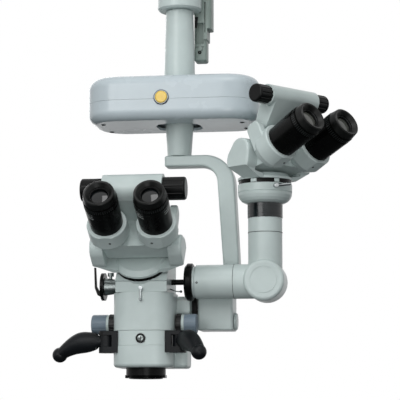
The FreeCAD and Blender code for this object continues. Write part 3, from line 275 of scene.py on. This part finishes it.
grained = coated("grained_black_nylon", "101316", "0A0C0E", patch_mm=30, grain_mm=0.8, rough=0.4,
                 spread=0.07, bump_mm=0.035, specular=0.16)
dress(["handle_hubs", "left_handle", "right_handle"], grained)
satin = coated("satin_black_nylon", "090A0A", "040505", patch_mm=30, grain_mm=0.8, rough=0.3,
               spread=0.06, bump_mm=0.02, specular=0.14)
dress(["main_ipd_knobs", "observer_ipd_knobs"], satin)

# Zoom knobs: moulded blue-grey grips with a pale rim and a black gear ring, all on one shaft.
# The colours change with the distance from the middle of the head, as the mouldings do.

knobs, tree, surface = new_material("zoom_knob_mouldings")
place = add(tree, "ShaderNodeTexCoord")
split = add(tree, "ShaderNodeSeparateXYZ", {}, Vector=place.outputs["Object"])
HEAD_CENTRE_X = -0.0385
offset = add(tree, "ShaderNodeMath", {"operation": "ADD", 1: -HEAD_CENTRE_X})
tree.links.new(split.outputs["X"], offset.inputs[0])
away = add(tree, "ShaderNodeMath", {"operation": "ABSOLUTE"})
tree.links.new(offset.outputs[0], away.inputs[0])
PER_TENTH = 10.0
scaled = add(tree, "ShaderNodeMath", {"operation": "MULTIPLY", 1: PER_TENTH})
tree.links.new(away.outputs[0], scaled.inputs[0])
RIM_AT, GRIP_AT = 0.0500, 0.0535
band_stops = [(0.0, "0E0F10"), (RIM_AT * PER_TENTH, "C2CECC"), (GRIP_AT * PER_TENTH, "74838F")]
bands = add(tree, "ShaderNodeValToRGB", {"stops": band_stops}, Fac=scaled.outputs[0])
bands.color_ramp.interpolation = "CONSTANT"
grain = add(tree, "ShaderNodeTexNoise", {"Scale": 1300.0, "Detail": 2.0}, Vector=place.outputs["Object"])
speckle = add(tree, "ShaderNodeMix", {"data_type": "RGBA", "blend_type": "MULTIPLY", "Factor": 0.2})
tree.links.new(bands.outputs["Color"], speckle.inputs[6])
tree.links.new(grain.outputs["Color"], speckle.inputs[7])
relief = add(tree, "ShaderNodeBump", {"Strength": 0.3, "Distance": 0.00003}, Height=grain.outputs["Fac"])
tree.links.new(speckle.outputs[2], surface.inputs["Base Color"])
tree.links.new(relief.outputs["Normal"], surface.inputs["Normal"])
surface.inputs["Roughness"].default_value = 0.45
surface.inputs["Specular IOR Level"].default_value = 0.35
dress(["zoom_knobs"], knobs)

# Bright and bare metal: camera port, lock lever, clamp screw and the slides inside the pod.
# The port is satin nickel, the lever and the screw are chromed steel and the slides are milled aluminium.

nickel = coated("satin_nickel_plating", "8E9594", "6F7675", patch_mm=20, grain_mm=0.8, rough=0.34,
                spread=0.06, bump_mm=0.01, metallic=1.0)
chrome = coated("bright_chrome_plating", "B4B9BA", "8F9596", patch_mm=8, grain_mm=0.4, rough=0.16,
                spread=0.05, bump_mm=0.003, metallic=1.0)
dress(["camera_port"], nickel)
dress(["main_lock_lever", "observer_clamp_screw"], chrome)
milled = coated("milled_aluminium", "A9ADAF", "94999B", patch_mm=15, grain_mm=0.4, rough=0.34,
                spread=0.08, bump_mm=0.008, metallic=1.0)
dress(["slide_frame", "x_carriage"], milled)

# Collar screw: clamp screw in the middle of the handle collar, with a nickel face and a cross recess.
# The cross is two thin black bars a little proud of the face, painted shade where the real screw has a cut
# recess.
# A blackened lock ring round it keeps it from working loose.

collar_screw_place = facing((HEAD_CENTRE_X, -0.0882, -0.505), (0, -1, 0))
RING_OUT, RING_IN, RING_EDGE, RING_RISE = 0.0066, 0.0044, 0.0060, 0.0009
CAP_R, CAP_EDGE, CAP_RISE = 0.0043, 0.0037, 0.0010
SUNK, SHOULDER = -0.0012, 0.0004
collar_ring = [(RING_IN, SUNK), (RING_OUT, SUNK), (RING_OUT, SHOULDER), (RING_EDGE, RING_RISE),
               (RING_IN + SHOULDER, RING_RISE), (RING_IN, SHOULDER)]
cap_disc = [(0.0, SUNK), (CAP_R, SUNK), (CAP_R, SHOULDER), (CAP_EDGE, CAP_RISE - 0.0002), (0.0, CAP_RISE)]
screw_ring = spun(collar_ring, collar_screw_place, steps=48)
new_piece("collar_screw_ring", screw_ring, black_screw, "head")
screw_cap = spun(cap_disc, collar_screw_place, steps=48)
new_piece("collar_screw_cap", screw_cap, nickel, "head")
# The black cross bars are painted shade of the screw's recess.
BAR_LONG, BAR_NARROW = 0.0028, 0.0006
BARS = (("level", BAR_LONG, BAR_NARROW, 0.0012), ("upright", BAR_NARROW, BAR_LONG, 0.00115))
for name, wide, tall, top in BARS:
    corners = [(-wide, -tall), (wide, -tall), (wide, tall), (-wide, tall)]
    bar = plate(corners, (SHOULDER, top), collar_screw_place)
    new_piece("collar_screw_recess_shade_" + name, bar, black_screw, "head", smooth=False)

# Clamp lever of the observer's receptacle: chromed rod with round ends, set through the screw's head.
# A fingertip turns it.

RISER_AXIS = Vector((0.1255, -0.045, 0.0))


def rod(points, radii, sides=16):
    """Closed round rod along points, with a radius at each."""
    shape = bmesh.new()
    rings = []
    for i, (point, radius) in enumerate(zip(points, radii)):
        heading = (points[min(i + 1, len(points) - 1)] - points[max(i - 1, 0)]).normalized()
        turn = heading.to_track_quat("Z", "Y").to_matrix()
        angles = [2 * math.pi * k / sides for k in range(sides)]
        edge = [Vector((radius * math.cos(a), radius * math.sin(a), 0)) for a in angles]
        rings.append([shape.verts.new(point + turn @ corner) for corner in edge])
    for here, there in zip(rings, rings[1:]):
        for k in range(sides):
            shape.faces.new((here[k], here[(k + 1) % sides], there[(k + 1) % sides], there[k]))
    shape.faces.new(rings[0])
    shape.faces.new(rings[-1])
    return shape


def capsule(start, end, radius):
    """Points and radii of a straight rod with round ends."""
    along = (end - start).normalized()
    dome = [(-math.cos(a), math.sin(a)) for a in (0.25, 0.6, 1.0, math.pi / 2)]
    points = [start + along * radius * c for c, s in dome]
    points += [end - along * radius * c for c, s in reversed(dome)]
    return points, [radius * s for c, s in dome] + [radius * s for c, s in reversed(dome)]


CLAMP_FROM_AXIS, CLAMP_Z = 0.0412, -0.301
LEVER_R, LEVER_BEHIND, LEVER_AHEAD = 0.0022, 0.002, 0.020
clamp_out = Vector((0.470, -0.883, 0.0))
clamp_head = RISER_AXIS + clamp_out * CLAMP_FROM_AXIS + Vector((0, 0, CLAMP_Z))
clamp_along = Vector((0.873, 0.465, 0.150)).normalized()
lever_ends = (clamp_head - clamp_along * LEVER_BEHIND, clamp_head + clamp_along * LEVER_AHEAD)
new_piece("clamp_lever_rod", rod(*capsule(*lever_ends, LEVER_R)), chrome, "observer_clamp_screw")

# Lugs on the observer's lock ring: two small pale lugs in the castings' coat, fixed in the black gap.
# They are painted highlights: two pale marks where the black ring catches the light.

LUG_HIGHLIGHT_HALF_H, LUG_HIGHLIGHT_DEPTH, LUG_HIGHLIGHT_BEVEL = 0.0024, (-0.001, 0.0011), 0.0003
LUG_HIGHLIGHT_FROM_AXIS, LUG_HIGHLIGHT_Z = 0.0358, -0.293
for name, angle, width in (("left", -108.5, 0.0085), ("right", -57.5, 0.0070)):
    out = Vector((math.cos(math.radians(angle)), math.sin(math.radians(angle)), 0))
    corners = [(-width / 2, -LUG_HIGHLIGHT_HALF_H), (width / 2, -LUG_HIGHLIGHT_HALF_H), (width / 2, LUG_HIGHLIGHT_HALF_H),
               (-width / 2, LUG_HIGHLIGHT_HALF_H)]
    lug_at = RISER_AXIS + out * LUG_HIGHLIGHT_FROM_AXIS + Vector((0, 0, LUG_HIGHLIGHT_Z))
    lug = plate(corners, LUG_HIGHLIGHT_DEPTH, facing(lug_at, out), LUG_HIGHLIGHT_BEVEL)
    # Each lug is a painted highlight on the lock ring.
    new_piece("lock_ring_highlight_lug_" + name, lug, castings, "observer_riser")

# Clamp pin of the side port: thin bent steel pin with a ball on its end, ground and left bare.
# It is screwed in the beam splitter's side.

PIN_R, BALL_R = 0.0008, 0.0018
PIN_PATH_MM = ((-5.0, -58.0, -437.0), (-1.5, -59.0, -438.0), (2.0, -60.0, -439.5),
               (5.5, -60.5, -440.6), (9.0, -60.8, -441.0), (12.0, -61.0, -441.0))
pin_points = [Vector(p) / 1000 for p in PIN_PATH_MM]
pin_steel = coated("ground_pin_steel", "6B7072", "54585A", patch_mm=6, grain_mm=0.4, rough=0.28,
                   spread=0.05, bump_mm=0.004, metallic=1.0)
new_piece("port_clamp_pin", rod(pin_points, [PIN_R] * len(pin_points)), pin_steel, "head")
ball = [(BALL_R * math.sin(a), -BALL_R * math.cos(a)) for a in [math.pi * i / 12 for i in range(13)]]
pin_ball = spun(ball, facing(pin_points[-1], (1, 0, 0)), steps=24)
new_piece("port_clamp_ball", pin_ball, pin_steel, "head")

# Seam shade rings: thin black rings in the two joints of the observer's tube, a little proud of it.
# They are painted shade: the dark lines where the tube meets the elbow and where the riser turns in it.

# Each ring is painted shade along a seam.
SEAM_SHADE_IN, SEAM_SHADE_SIDE, SEAM_SHADE_CROWN, SEAM_SHADE_HALF = 0.0210, 0.0236, 0.0238, 0.0003
seam_shade_profile = [(SEAM_SHADE_IN, -SEAM_SHADE_HALF), (SEAM_SHADE_SIDE, -SEAM_SHADE_HALF), (SEAM_SHADE_CROWN, 0.0),
          (SEAM_SHADE_SIDE, SEAM_SHADE_HALF), (SEAM_SHADE_IN, SEAM_SHADE_HALF)]
JOINTS = (("tube", (0.0832, -0.045, -0.427), (1, 0, 0)),
          ("swivel", (0.1255, -0.045, -0.3612), (0, 0, 1)))
for name, spot, along in JOINTS:
    ring = spun(seam_shade_profile, facing(spot, along), steps=96)
    new_piece(name + "_joint_shade_ring", ring, shade_black, "observer_arm")

# Grub screw: blackened steel screw set in the nose of the observer's tube, with its edge a little proud.
# It holds the tube on the union ring and shows as a small dark dot.

GRUB_AT, GRUB_FACES = (0.0345, -0.0681, -0.4296), (0, -1, -0.1)
grub_head = screw_head(radius=0.0015, rise=0.0004, socket=0.0008)
grub = spun(grub_head, facing(GRUB_AT, GRUB_FACES), steps=20)
new_piece("tube_grub_screw", grub, black_screw, "observer_arm")

# Objective lens: ground and coated glass, held in its ring under the head.
# Seen from outside it is dark, with a faint blue-green depth.


def lens_glass(name, tint, dark, rough):
    """Lens seen from outside: a dark depth under a smooth face."""
    material, tree, surface = new_material(name)
    place = add(tree, "ShaderNodeTexCoord")
    haze = add(tree, "ShaderNodeTexNoise", {"Scale": 60.0, "Detail": 3.0}, Vector=place.outputs["Object"])
    tone = add(tree, "ShaderNodeValToRGB", {"stops": [(0.3, dark), (0.75, tint)]}, Fac=haze.outputs["Fac"])
    gloss = add(tree, "ShaderNodeMapRange", {"To Min": rough, "To Max": rough + 0.05},
                Value=haze.outputs["Fac"])
    tree.links.new(tone.outputs["Color"], surface.inputs["Base Color"])
    tree.links.new(gloss.outputs["Result"], surface.inputs["Roughness"])
    surface.inputs["IOR"].default_value = 1.52
    return material


dress(["objective_lens"], lens_glass("coated_objective_glass", "2C3A40", "10171A", rough=0.02))

# Eyepiece optics: a domed coated lens in each eyepiece, with a thin black stop ring round it.
# The observer's lenses have a warmer grey in their colour, a painted reflection of the room.
# Each seat gives the round seam under a binocular in mm, then its lean, eyepiece lift and turn in degrees.

SEATS = {"main": ((-40.7, -66.0, -402.5), 48.0, 31.0, 0.0),
         "observer": ((125.5, -45.0, -296.0), 0.0, 25.5, 52.0)}
PIVOT_RISE, HALF_PUPIL, BARREL_A, BARREL_U = 27.0, 33.2, 67.0, -7.0


def tilting_frame(owner):
    """Matrix in metres at a binocular's tilt axis: X to the right, Y away from the eye, Z up."""
    seat, lean, lift, yaw = SEATS[owner]
    turn = Matrix.Rotation(math.radians(yaw), 4, "Z")
    pivot = Vector(seat) + turn @ Matrix.Rotation(math.radians(lean), 4, "X") @ Vector((0, 0, PIVOT_RISE))
    return Matrix.Translation(pivot / 1000) @ turn @ Matrix.Rotation(math.radians(-lift), 4, "X")


def barrel_places():
    """Each eyepiece: binocular, side and a matrix at the barrel's base plane whose Z points to the eye."""
    for owner in SEATS:
        for side, sign in (("left", -1), ("right", 1)):
            base = Matrix.Translation(Vector((sign * HALF_PUPIL, -BARREL_A, BARREL_U)) / 1000)
            yield owner, side, tilting_frame(owner) @ base @ Matrix.Rotation(math.radians(90), 4, "X")


LENS_R, LENS_BASE, LENS_EDGE, LENS_RISE = 0.0124, 0.0534, 0.0006, 0.0022
STOP_IN, STOP_OUT, STOP_LOW, STOP_HIGH = 0.0118, 0.0129, 0.0545, 0.0583
stop = [(STOP_IN, STOP_LOW), (STOP_OUT, STOP_LOW), (STOP_OUT, STOP_HIGH - 0.0004),
        (STOP_OUT - 0.0003, STOP_HIGH), (STOP_IN + 0.0003, STOP_HIGH - 0.0003),
        (STOP_IN, STOP_HIGH - 0.0015)]
# The observer's warmer grey tint is a painted reflection of the room.
eye_glass = {"main": lens_glass("coated_eye_glass", "0C1012", "050707", rough=0.03),
             "observer": lens_glass("eye_glass_painted_reflection", "5E5F5A", "42443F", rough=0.12)}
dome_steps = [math.radians(9 * i) for i in range(11)]
for owner, side, matrix in barrel_places():
    name, body = owner + "_" + side, owner + "_" + side + "_tube"
    dome = [(0.0, LENS_BASE), (LENS_R, LENS_BASE)]
    dome += [(LENS_R * math.cos(a), LENS_BASE + LENS_EDGE + LENS_RISE * math.sin(a)) for a in dome_steps]
    dome[-1] = (0.0, dome[-1][1])
    new_piece(name + "_eye_lens", spun(dome, matrix), eye_glass[owner], body)
    new_piece(name + "_lens_stop", spun(stop, matrix), black_screw, body)

# Grip ribs of the focusing rings: short ribs milled round each ring, so that a gloved finger holds.
# They are one repeat round a circle, grown by Geometry Nodes and kept as a plain mesh.


def ribs_tree(material):
    """Node tree that sets ribs round the Z axis: count, radius, and the rib's width, height and length."""
    tree = bpy.data.node_groups.new("ribs_round", "GeometryNodeTree")
    tree.interface.new_socket("Geometry", in_out="OUTPUT", socket_type="NodeSocketGeometry")
    tree.interface.new_socket("Count", in_out="INPUT", socket_type="NodeSocketInt")
    for label in ("Radius", "Width", "Height", "Length"):
        tree.interface.new_socket(label, in_out="INPUT", socket_type="NodeSocketFloat")
    given = add(tree, "NodeGroupInput")
    spots = add(tree, "GeometryNodePoints", {}, Count=given.outputs["Count"])
    index = add(tree, "GeometryNodeInputIndex")
    share = add(tree, "ShaderNodeMath", {"operation": "DIVIDE"})
    tree.links.new(index.outputs[0], share.inputs[0])
    tree.links.new(given.outputs["Count"], share.inputs[1])
    angle = add(tree, "ShaderNodeMath", {"operation": "MULTIPLY", 1: 2 * math.pi})
    tree.links.new(share.outputs[0], angle.inputs[0])
    turn = add(tree, "ShaderNodeCombineXYZ", {}, Z=angle.outputs[0])
    out = add(tree, "ShaderNodeCombineXYZ", {}, X=given.outputs["Radius"])
    spin = add(tree, "ShaderNodeVectorRotate", {"rotation_type": "Z_AXIS"}, Vector=out.outputs[0])
    tree.links.new(angle.outputs[0], spin.inputs["Angle"])
    placed = add(tree, "GeometryNodeSetPosition", {}, Geometry=spots.outputs[0], Position=spin.outputs[0])
    size = add(tree, "ShaderNodeCombineXYZ", {}, X=given.outputs["Height"], Y=given.outputs["Width"],
               Z=given.outputs["Length"])
    rib = add(tree, "GeometryNodeMeshCube", {}, Size=size.outputs[0])
    euler = add(tree, "FunctionNodeEulerToRotation", {}, Euler=turn.outputs[0])
    copies = add(tree, "GeometryNodeInstanceOnPoints", {}, Points=placed.outputs[0],
                 Instance=rib.outputs["Mesh"], Rotation=euler.outputs[0])
    solid = add(tree, "GeometryNodeRealizeInstances", {}, Geometry=copies.outputs[0])
    painted = add(tree, "GeometryNodeSetMaterial", {"Material": material}, Geometry=solid.outputs[0])
    add(tree, "NodeGroupOutput", {}, Geometry=painted.outputs[0])
    return tree


def grown(name, tree, sizes, matrix, body):
    """Runs a tree with named sizes, keeps its result as a plain mesh and lets it ride on a body."""
    carrier = bpy.data.objects.new("carrier", bpy.data.meshes.new("carrier"))
    bpy.context.scene.collection.objects.link(carrier)
    modifier = carrier.modifiers.new("grow", "NODES")
    modifier.node_group = tree
    for item in tree.interface.items_tree:
        if item.item_type == "SOCKET" and item.in_out == "INPUT":
            modifier[item.identifier] = sizes[item.name]
    done = carrier.evaluated_get(bpy.context.evaluated_depsgraph_get())
    mesh = bpy.data.meshes.new_from_object(done)
    bpy.data.objects.remove(carrier)
    mesh.name = name
    mesh.transform(matrix)
    piece = bpy.data.objects.new(name, mesh)
    bpy.context.scene.collection.objects.link(piece)
    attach(piece, body)
    return piece


# The ribs' black is lighter than the rings' black: painted highlight where the rib edges catch the light.
rib_highlight_black = turned_black("rib_highlight_black_anodising", "1E2121", "121414", rough=0.3, specular=0.4)
rib_tree = ribs_tree(rib_highlight_black)
rib_sizes = {"Count": 48, "Radius": 0.0221, "Width": 0.0011, "Height": 0.0014, "Length": 0.0056}
RING_MIDDLE = 0.0482
for owner, side, matrix in barrel_places():
    name = owner + "_" + side
    middle = matrix @ Matrix.Translation((0, 0, RING_MIDDLE))
    grown(name + "_ring_ribs", rib_tree, rib_sizes, middle, name + "_diopter")

# Groove highlights on the barrels: three fine pale arcs that run part of the way round.
# They are painted highlights where three fine grooves round each barrel catch the light.


def lines_tree(material):
    """Node tree of parallel wire arcs round the Z axis: radius, start, sweep, step and thickness."""
    tree = bpy.data.node_groups.new("groove_highlights", "GeometryNodeTree")
    tree.interface.new_socket("Geometry", in_out="OUTPUT", socket_type="NodeSocketGeometry")
    for label in ("Radius", "Start", "Sweep", "Step", "Thickness"):
        tree.interface.new_socket(label, in_out="INPUT", socket_type="NodeSocketFloat")
    given = add(tree, "NodeGroupInput")
    arc = add(tree, "GeometryNodeCurveArc", {"Resolution": 20}, Radius=given.outputs["Radius"])
    tree.links.new(given.outputs["Start"], arc.inputs["Start Angle"])
    tree.links.new(given.outputs["Sweep"], arc.inputs["Sweep Angle"])
    wire = add(tree, "GeometryNodeCurvePrimitiveCircle", {"Resolution": 8},
               Radius=given.outputs["Thickness"])
    drawn = add(tree, "GeometryNodeCurveToMesh", {"Fill Caps": True}, Curve=arc.outputs["Curve"])
    tree.links.new(wire.outputs["Curve"], drawn.inputs["Profile Curve"])
    rise = add(tree, "ShaderNodeCombineXYZ", {}, Z=given.outputs["Step"])
    row = add(tree, "GeometryNodeMeshLine", {"Count": 3}, Offset=rise.outputs[0])
    copies = add(tree, "GeometryNodeInstanceOnPoints", {}, Points=row.outputs[0], Instance=drawn.outputs[0])
    solid = add(tree, "GeometryNodeRealizeInstances", {}, Geometry=copies.outputs[0])
    painted = add(tree, "GeometryNodeSetMaterial", {"Material": material}, Geometry=solid.outputs[0])
    add(tree, "NodeGroupOutput", {}, Geometry=painted.outputs[0])
    return tree


# The pale arcs are painted highlights of the grooves, set only where the grooves catch the light.
groove_highlight_paint = coated("groove_highlight_enamel", "C2C7C5", "9AA09D", patch_mm=3, grain_mm=0.4, rough=0.4,
                    spread=0.06, bump_mm=0.005)
line_tree = lines_tree(groove_highlight_paint)
LINES_FROM = 0.0335
LINE_STARTS = {"main_left": [216], "main_right": [216, 322],
               "observer_left": [20], "observer_right": [20]}
for owner, side, matrix in barrel_places():
    name = owner + "_" + side
    lowest = matrix @ Matrix.Translation((0, 0, LINES_FROM))
    for mark, start in enumerate(LINE_STARTS[name]):
        line_sizes = {"Radius": 0.0226, "Start": math.radians(start), "Sweep": math.radians(30),
                      "Step": 0.0042, "Thickness": 0.0004}
        mark_name = name + "_groove_highlights_" + str(mark)
        grown(mark_name, line_tree, line_sizes, lowest, name + "_tube")

# Holder screws: small blackened button-head screws, one under each eyepiece holder.
# They keep the holder on its slide.

HOLDER_SCREW_IN, HOLDER_SCREW_DOWN, HOLDER_SCREW_BACK = 0.0052, -0.0256, -0.0124
for owner, side, matrix in barrel_places():
    inward = HOLDER_SCREW_IN if side == "left" else -HOLDER_SCREW_IN
    under = matrix @ facing((inward, HOLDER_SCREW_DOWN, HOLDER_SCREW_BACK), (0, -1, 0))
    holder_head = spun(screw_head(radius=0.0017, rise=0.0005, socket=0.0009), under, steps=24)
    name = owner + "_" + side
    new_piece(name + "_holder_screw", holder_head, black_screw, name + "_tube")

# Studio: pale floor far below the hanging head, four soft lamps and a white backdrop.
# The floor is pale to the camera and darker to other rays, so that little light comes up from it.

FLOOR_Z, FLOOR_HALF = -1.6, 6.0
pale, tree, surface = new_material("pale_floor")
place = add(tree, "ShaderNodeTexCoord")
mottle = add(tree, "ShaderNodeTexNoise", {"Scale": 2.5, "Detail": 3.0}, Vector=place.outputs["Object"])
floor_shades = {"stops": [(0.3, "E8E8E8"), (0.7, "EEEEEE")]}
tone = add(tree, "ShaderNodeValToRGB", floor_shades, Fac=mottle.outputs["Fac"])
rays = add(tree, "ShaderNodeLightPath")
toned = add(tree, "ShaderNodeMix", {"data_type": "RGBA"})
tree.links.new(rays.outputs["Is Camera Ray"], toned.inputs[0])
toned.inputs[6].default_value = linear("5A5D5F")
tree.links.new(tone.outputs["Color"], toned.inputs[7])
tree.links.new(toned.outputs[2], surface.inputs["Base Color"])
lift = add(tree, "ShaderNodeMath", {"operation": "MULTIPLY", 1: 0.5})
tree.links.new(rays.outputs["Is Camera Ray"], lift.inputs[0])
tree.links.new(lift.outputs[0], surface.inputs["Emission Strength"])
surface.inputs["Emission Color"].default_value = linear("F2F2F2")
surface.inputs["Roughness"].default_value = 0.8
floor_shape = bmesh.new()
bmesh.ops.create_grid(floor_shape, x_segments=1, y_segments=1, size=FLOOR_HALF)
floor_mesh = bpy.data.meshes.new("floor")
floor_shape.to_mesh(floor_mesh)
floor_shape.free()
floor_mesh.materials.append(pale)
floor = bpy.data.objects.new("floor", floor_mesh)
floor.location.z = FLOOR_Z
bpy.context.scene.collection.objects.link(floor)

world = bpy.data.worlds.new("studio")
world.use_nodes = True
tree = world.node_tree
tree.nodes.clear()
rays = add(tree, "ShaderNodeLightPath")
soft = add(tree, "ShaderNodeBackground", {"Color": linear("E9EDEF"), "Strength": 0.36})
white = add(tree, "ShaderNodeBackground", {"Color": linear("FFFFFF"), "Strength": 1.0})
seen = add(tree, "ShaderNodeMath", {"operation": "MAXIMUM"})
tree.links.new(rays.outputs["Is Camera Ray"], seen.inputs[0])
tree.links.new(rays.outputs["Is Glossy Ray"], seen.inputs[1])
shown = add(tree, "ShaderNodeMath", {"operation": "MAXIMUM"})
tree.links.new(seen.outputs[0], shown.inputs[0])
tree.links.new(rays.outputs["Is Transmission Ray"], shown.inputs[1])
pick = add(tree, "ShaderNodeMixShader")
tree.links.new(shown.outputs[0], pick.inputs[0])
tree.links.new(soft.outputs[0], pick.inputs[1])
tree.links.new(white.outputs[0], pick.inputs[2])
add(tree, "ShaderNodeOutputWorld", {}, Surface=pick.outputs[0])
bpy.context.scene.world = world

LAMPS_AIM = Vector((0.02, -0.03, -0.31))
LAMPS = (("key_lamp", (-0.9, -2.2, 0.45), 1.3, 22.0), ("fill_lamp", (0.5, -2.3, -0.9), 1.1, 14.0),
         ("top_lamp", (0.3, -1.1, 1.2), 1.0, 11.0), ("back_lamp", (-1.2, 2.0, 0.5), 1.4, 9.0))
for name, spot, size, power in LAMPS:
    lamp = bpy.data.lights.new(name, "AREA")
    lamp.size = size
    lamp.energy = power
    holder = bpy.data.objects.new(name, lamp)
    holder.location = spot
    aim = LAMPS_AIM - Vector(spot)
    holder.rotation_euler = aim.to_track_quat("-Z", "Y").to_euler()
    bpy.context.scene.collection.objects.link(holder)

# Camera: below the eyepieces and a little to the right, far off with a long lens, as in the photograph.

target = Vector((0.0282, 0.0055, -0.3075))
azimuth, elevation, distance = math.radians(8.5), math.radians(-7.5), 2.5
level = math.cos(elevation)
back = Vector((math.sin(azimuth) * level, -math.cos(azimuth) * level, math.sin(elevation)))
lens = bpy.data.cameras.new("photo_camera")
FILM_WIDTH, SEEN_WIDTH = 36.0, 0.56
lens.lens = FILM_WIDTH * distance / SEEN_WIDTH
camera = bpy.data.objects.new("photo_camera", lens)
camera.location = target + back * distance
camera.rotation_euler = (-back).to_track_quat("-Z", "Y").to_euler()
bpy.context.scene.collection.objects.link(camera)
bpy.context.scene.camera = camera
bpy.context.scene.view_settings.view_transform = "Standard"
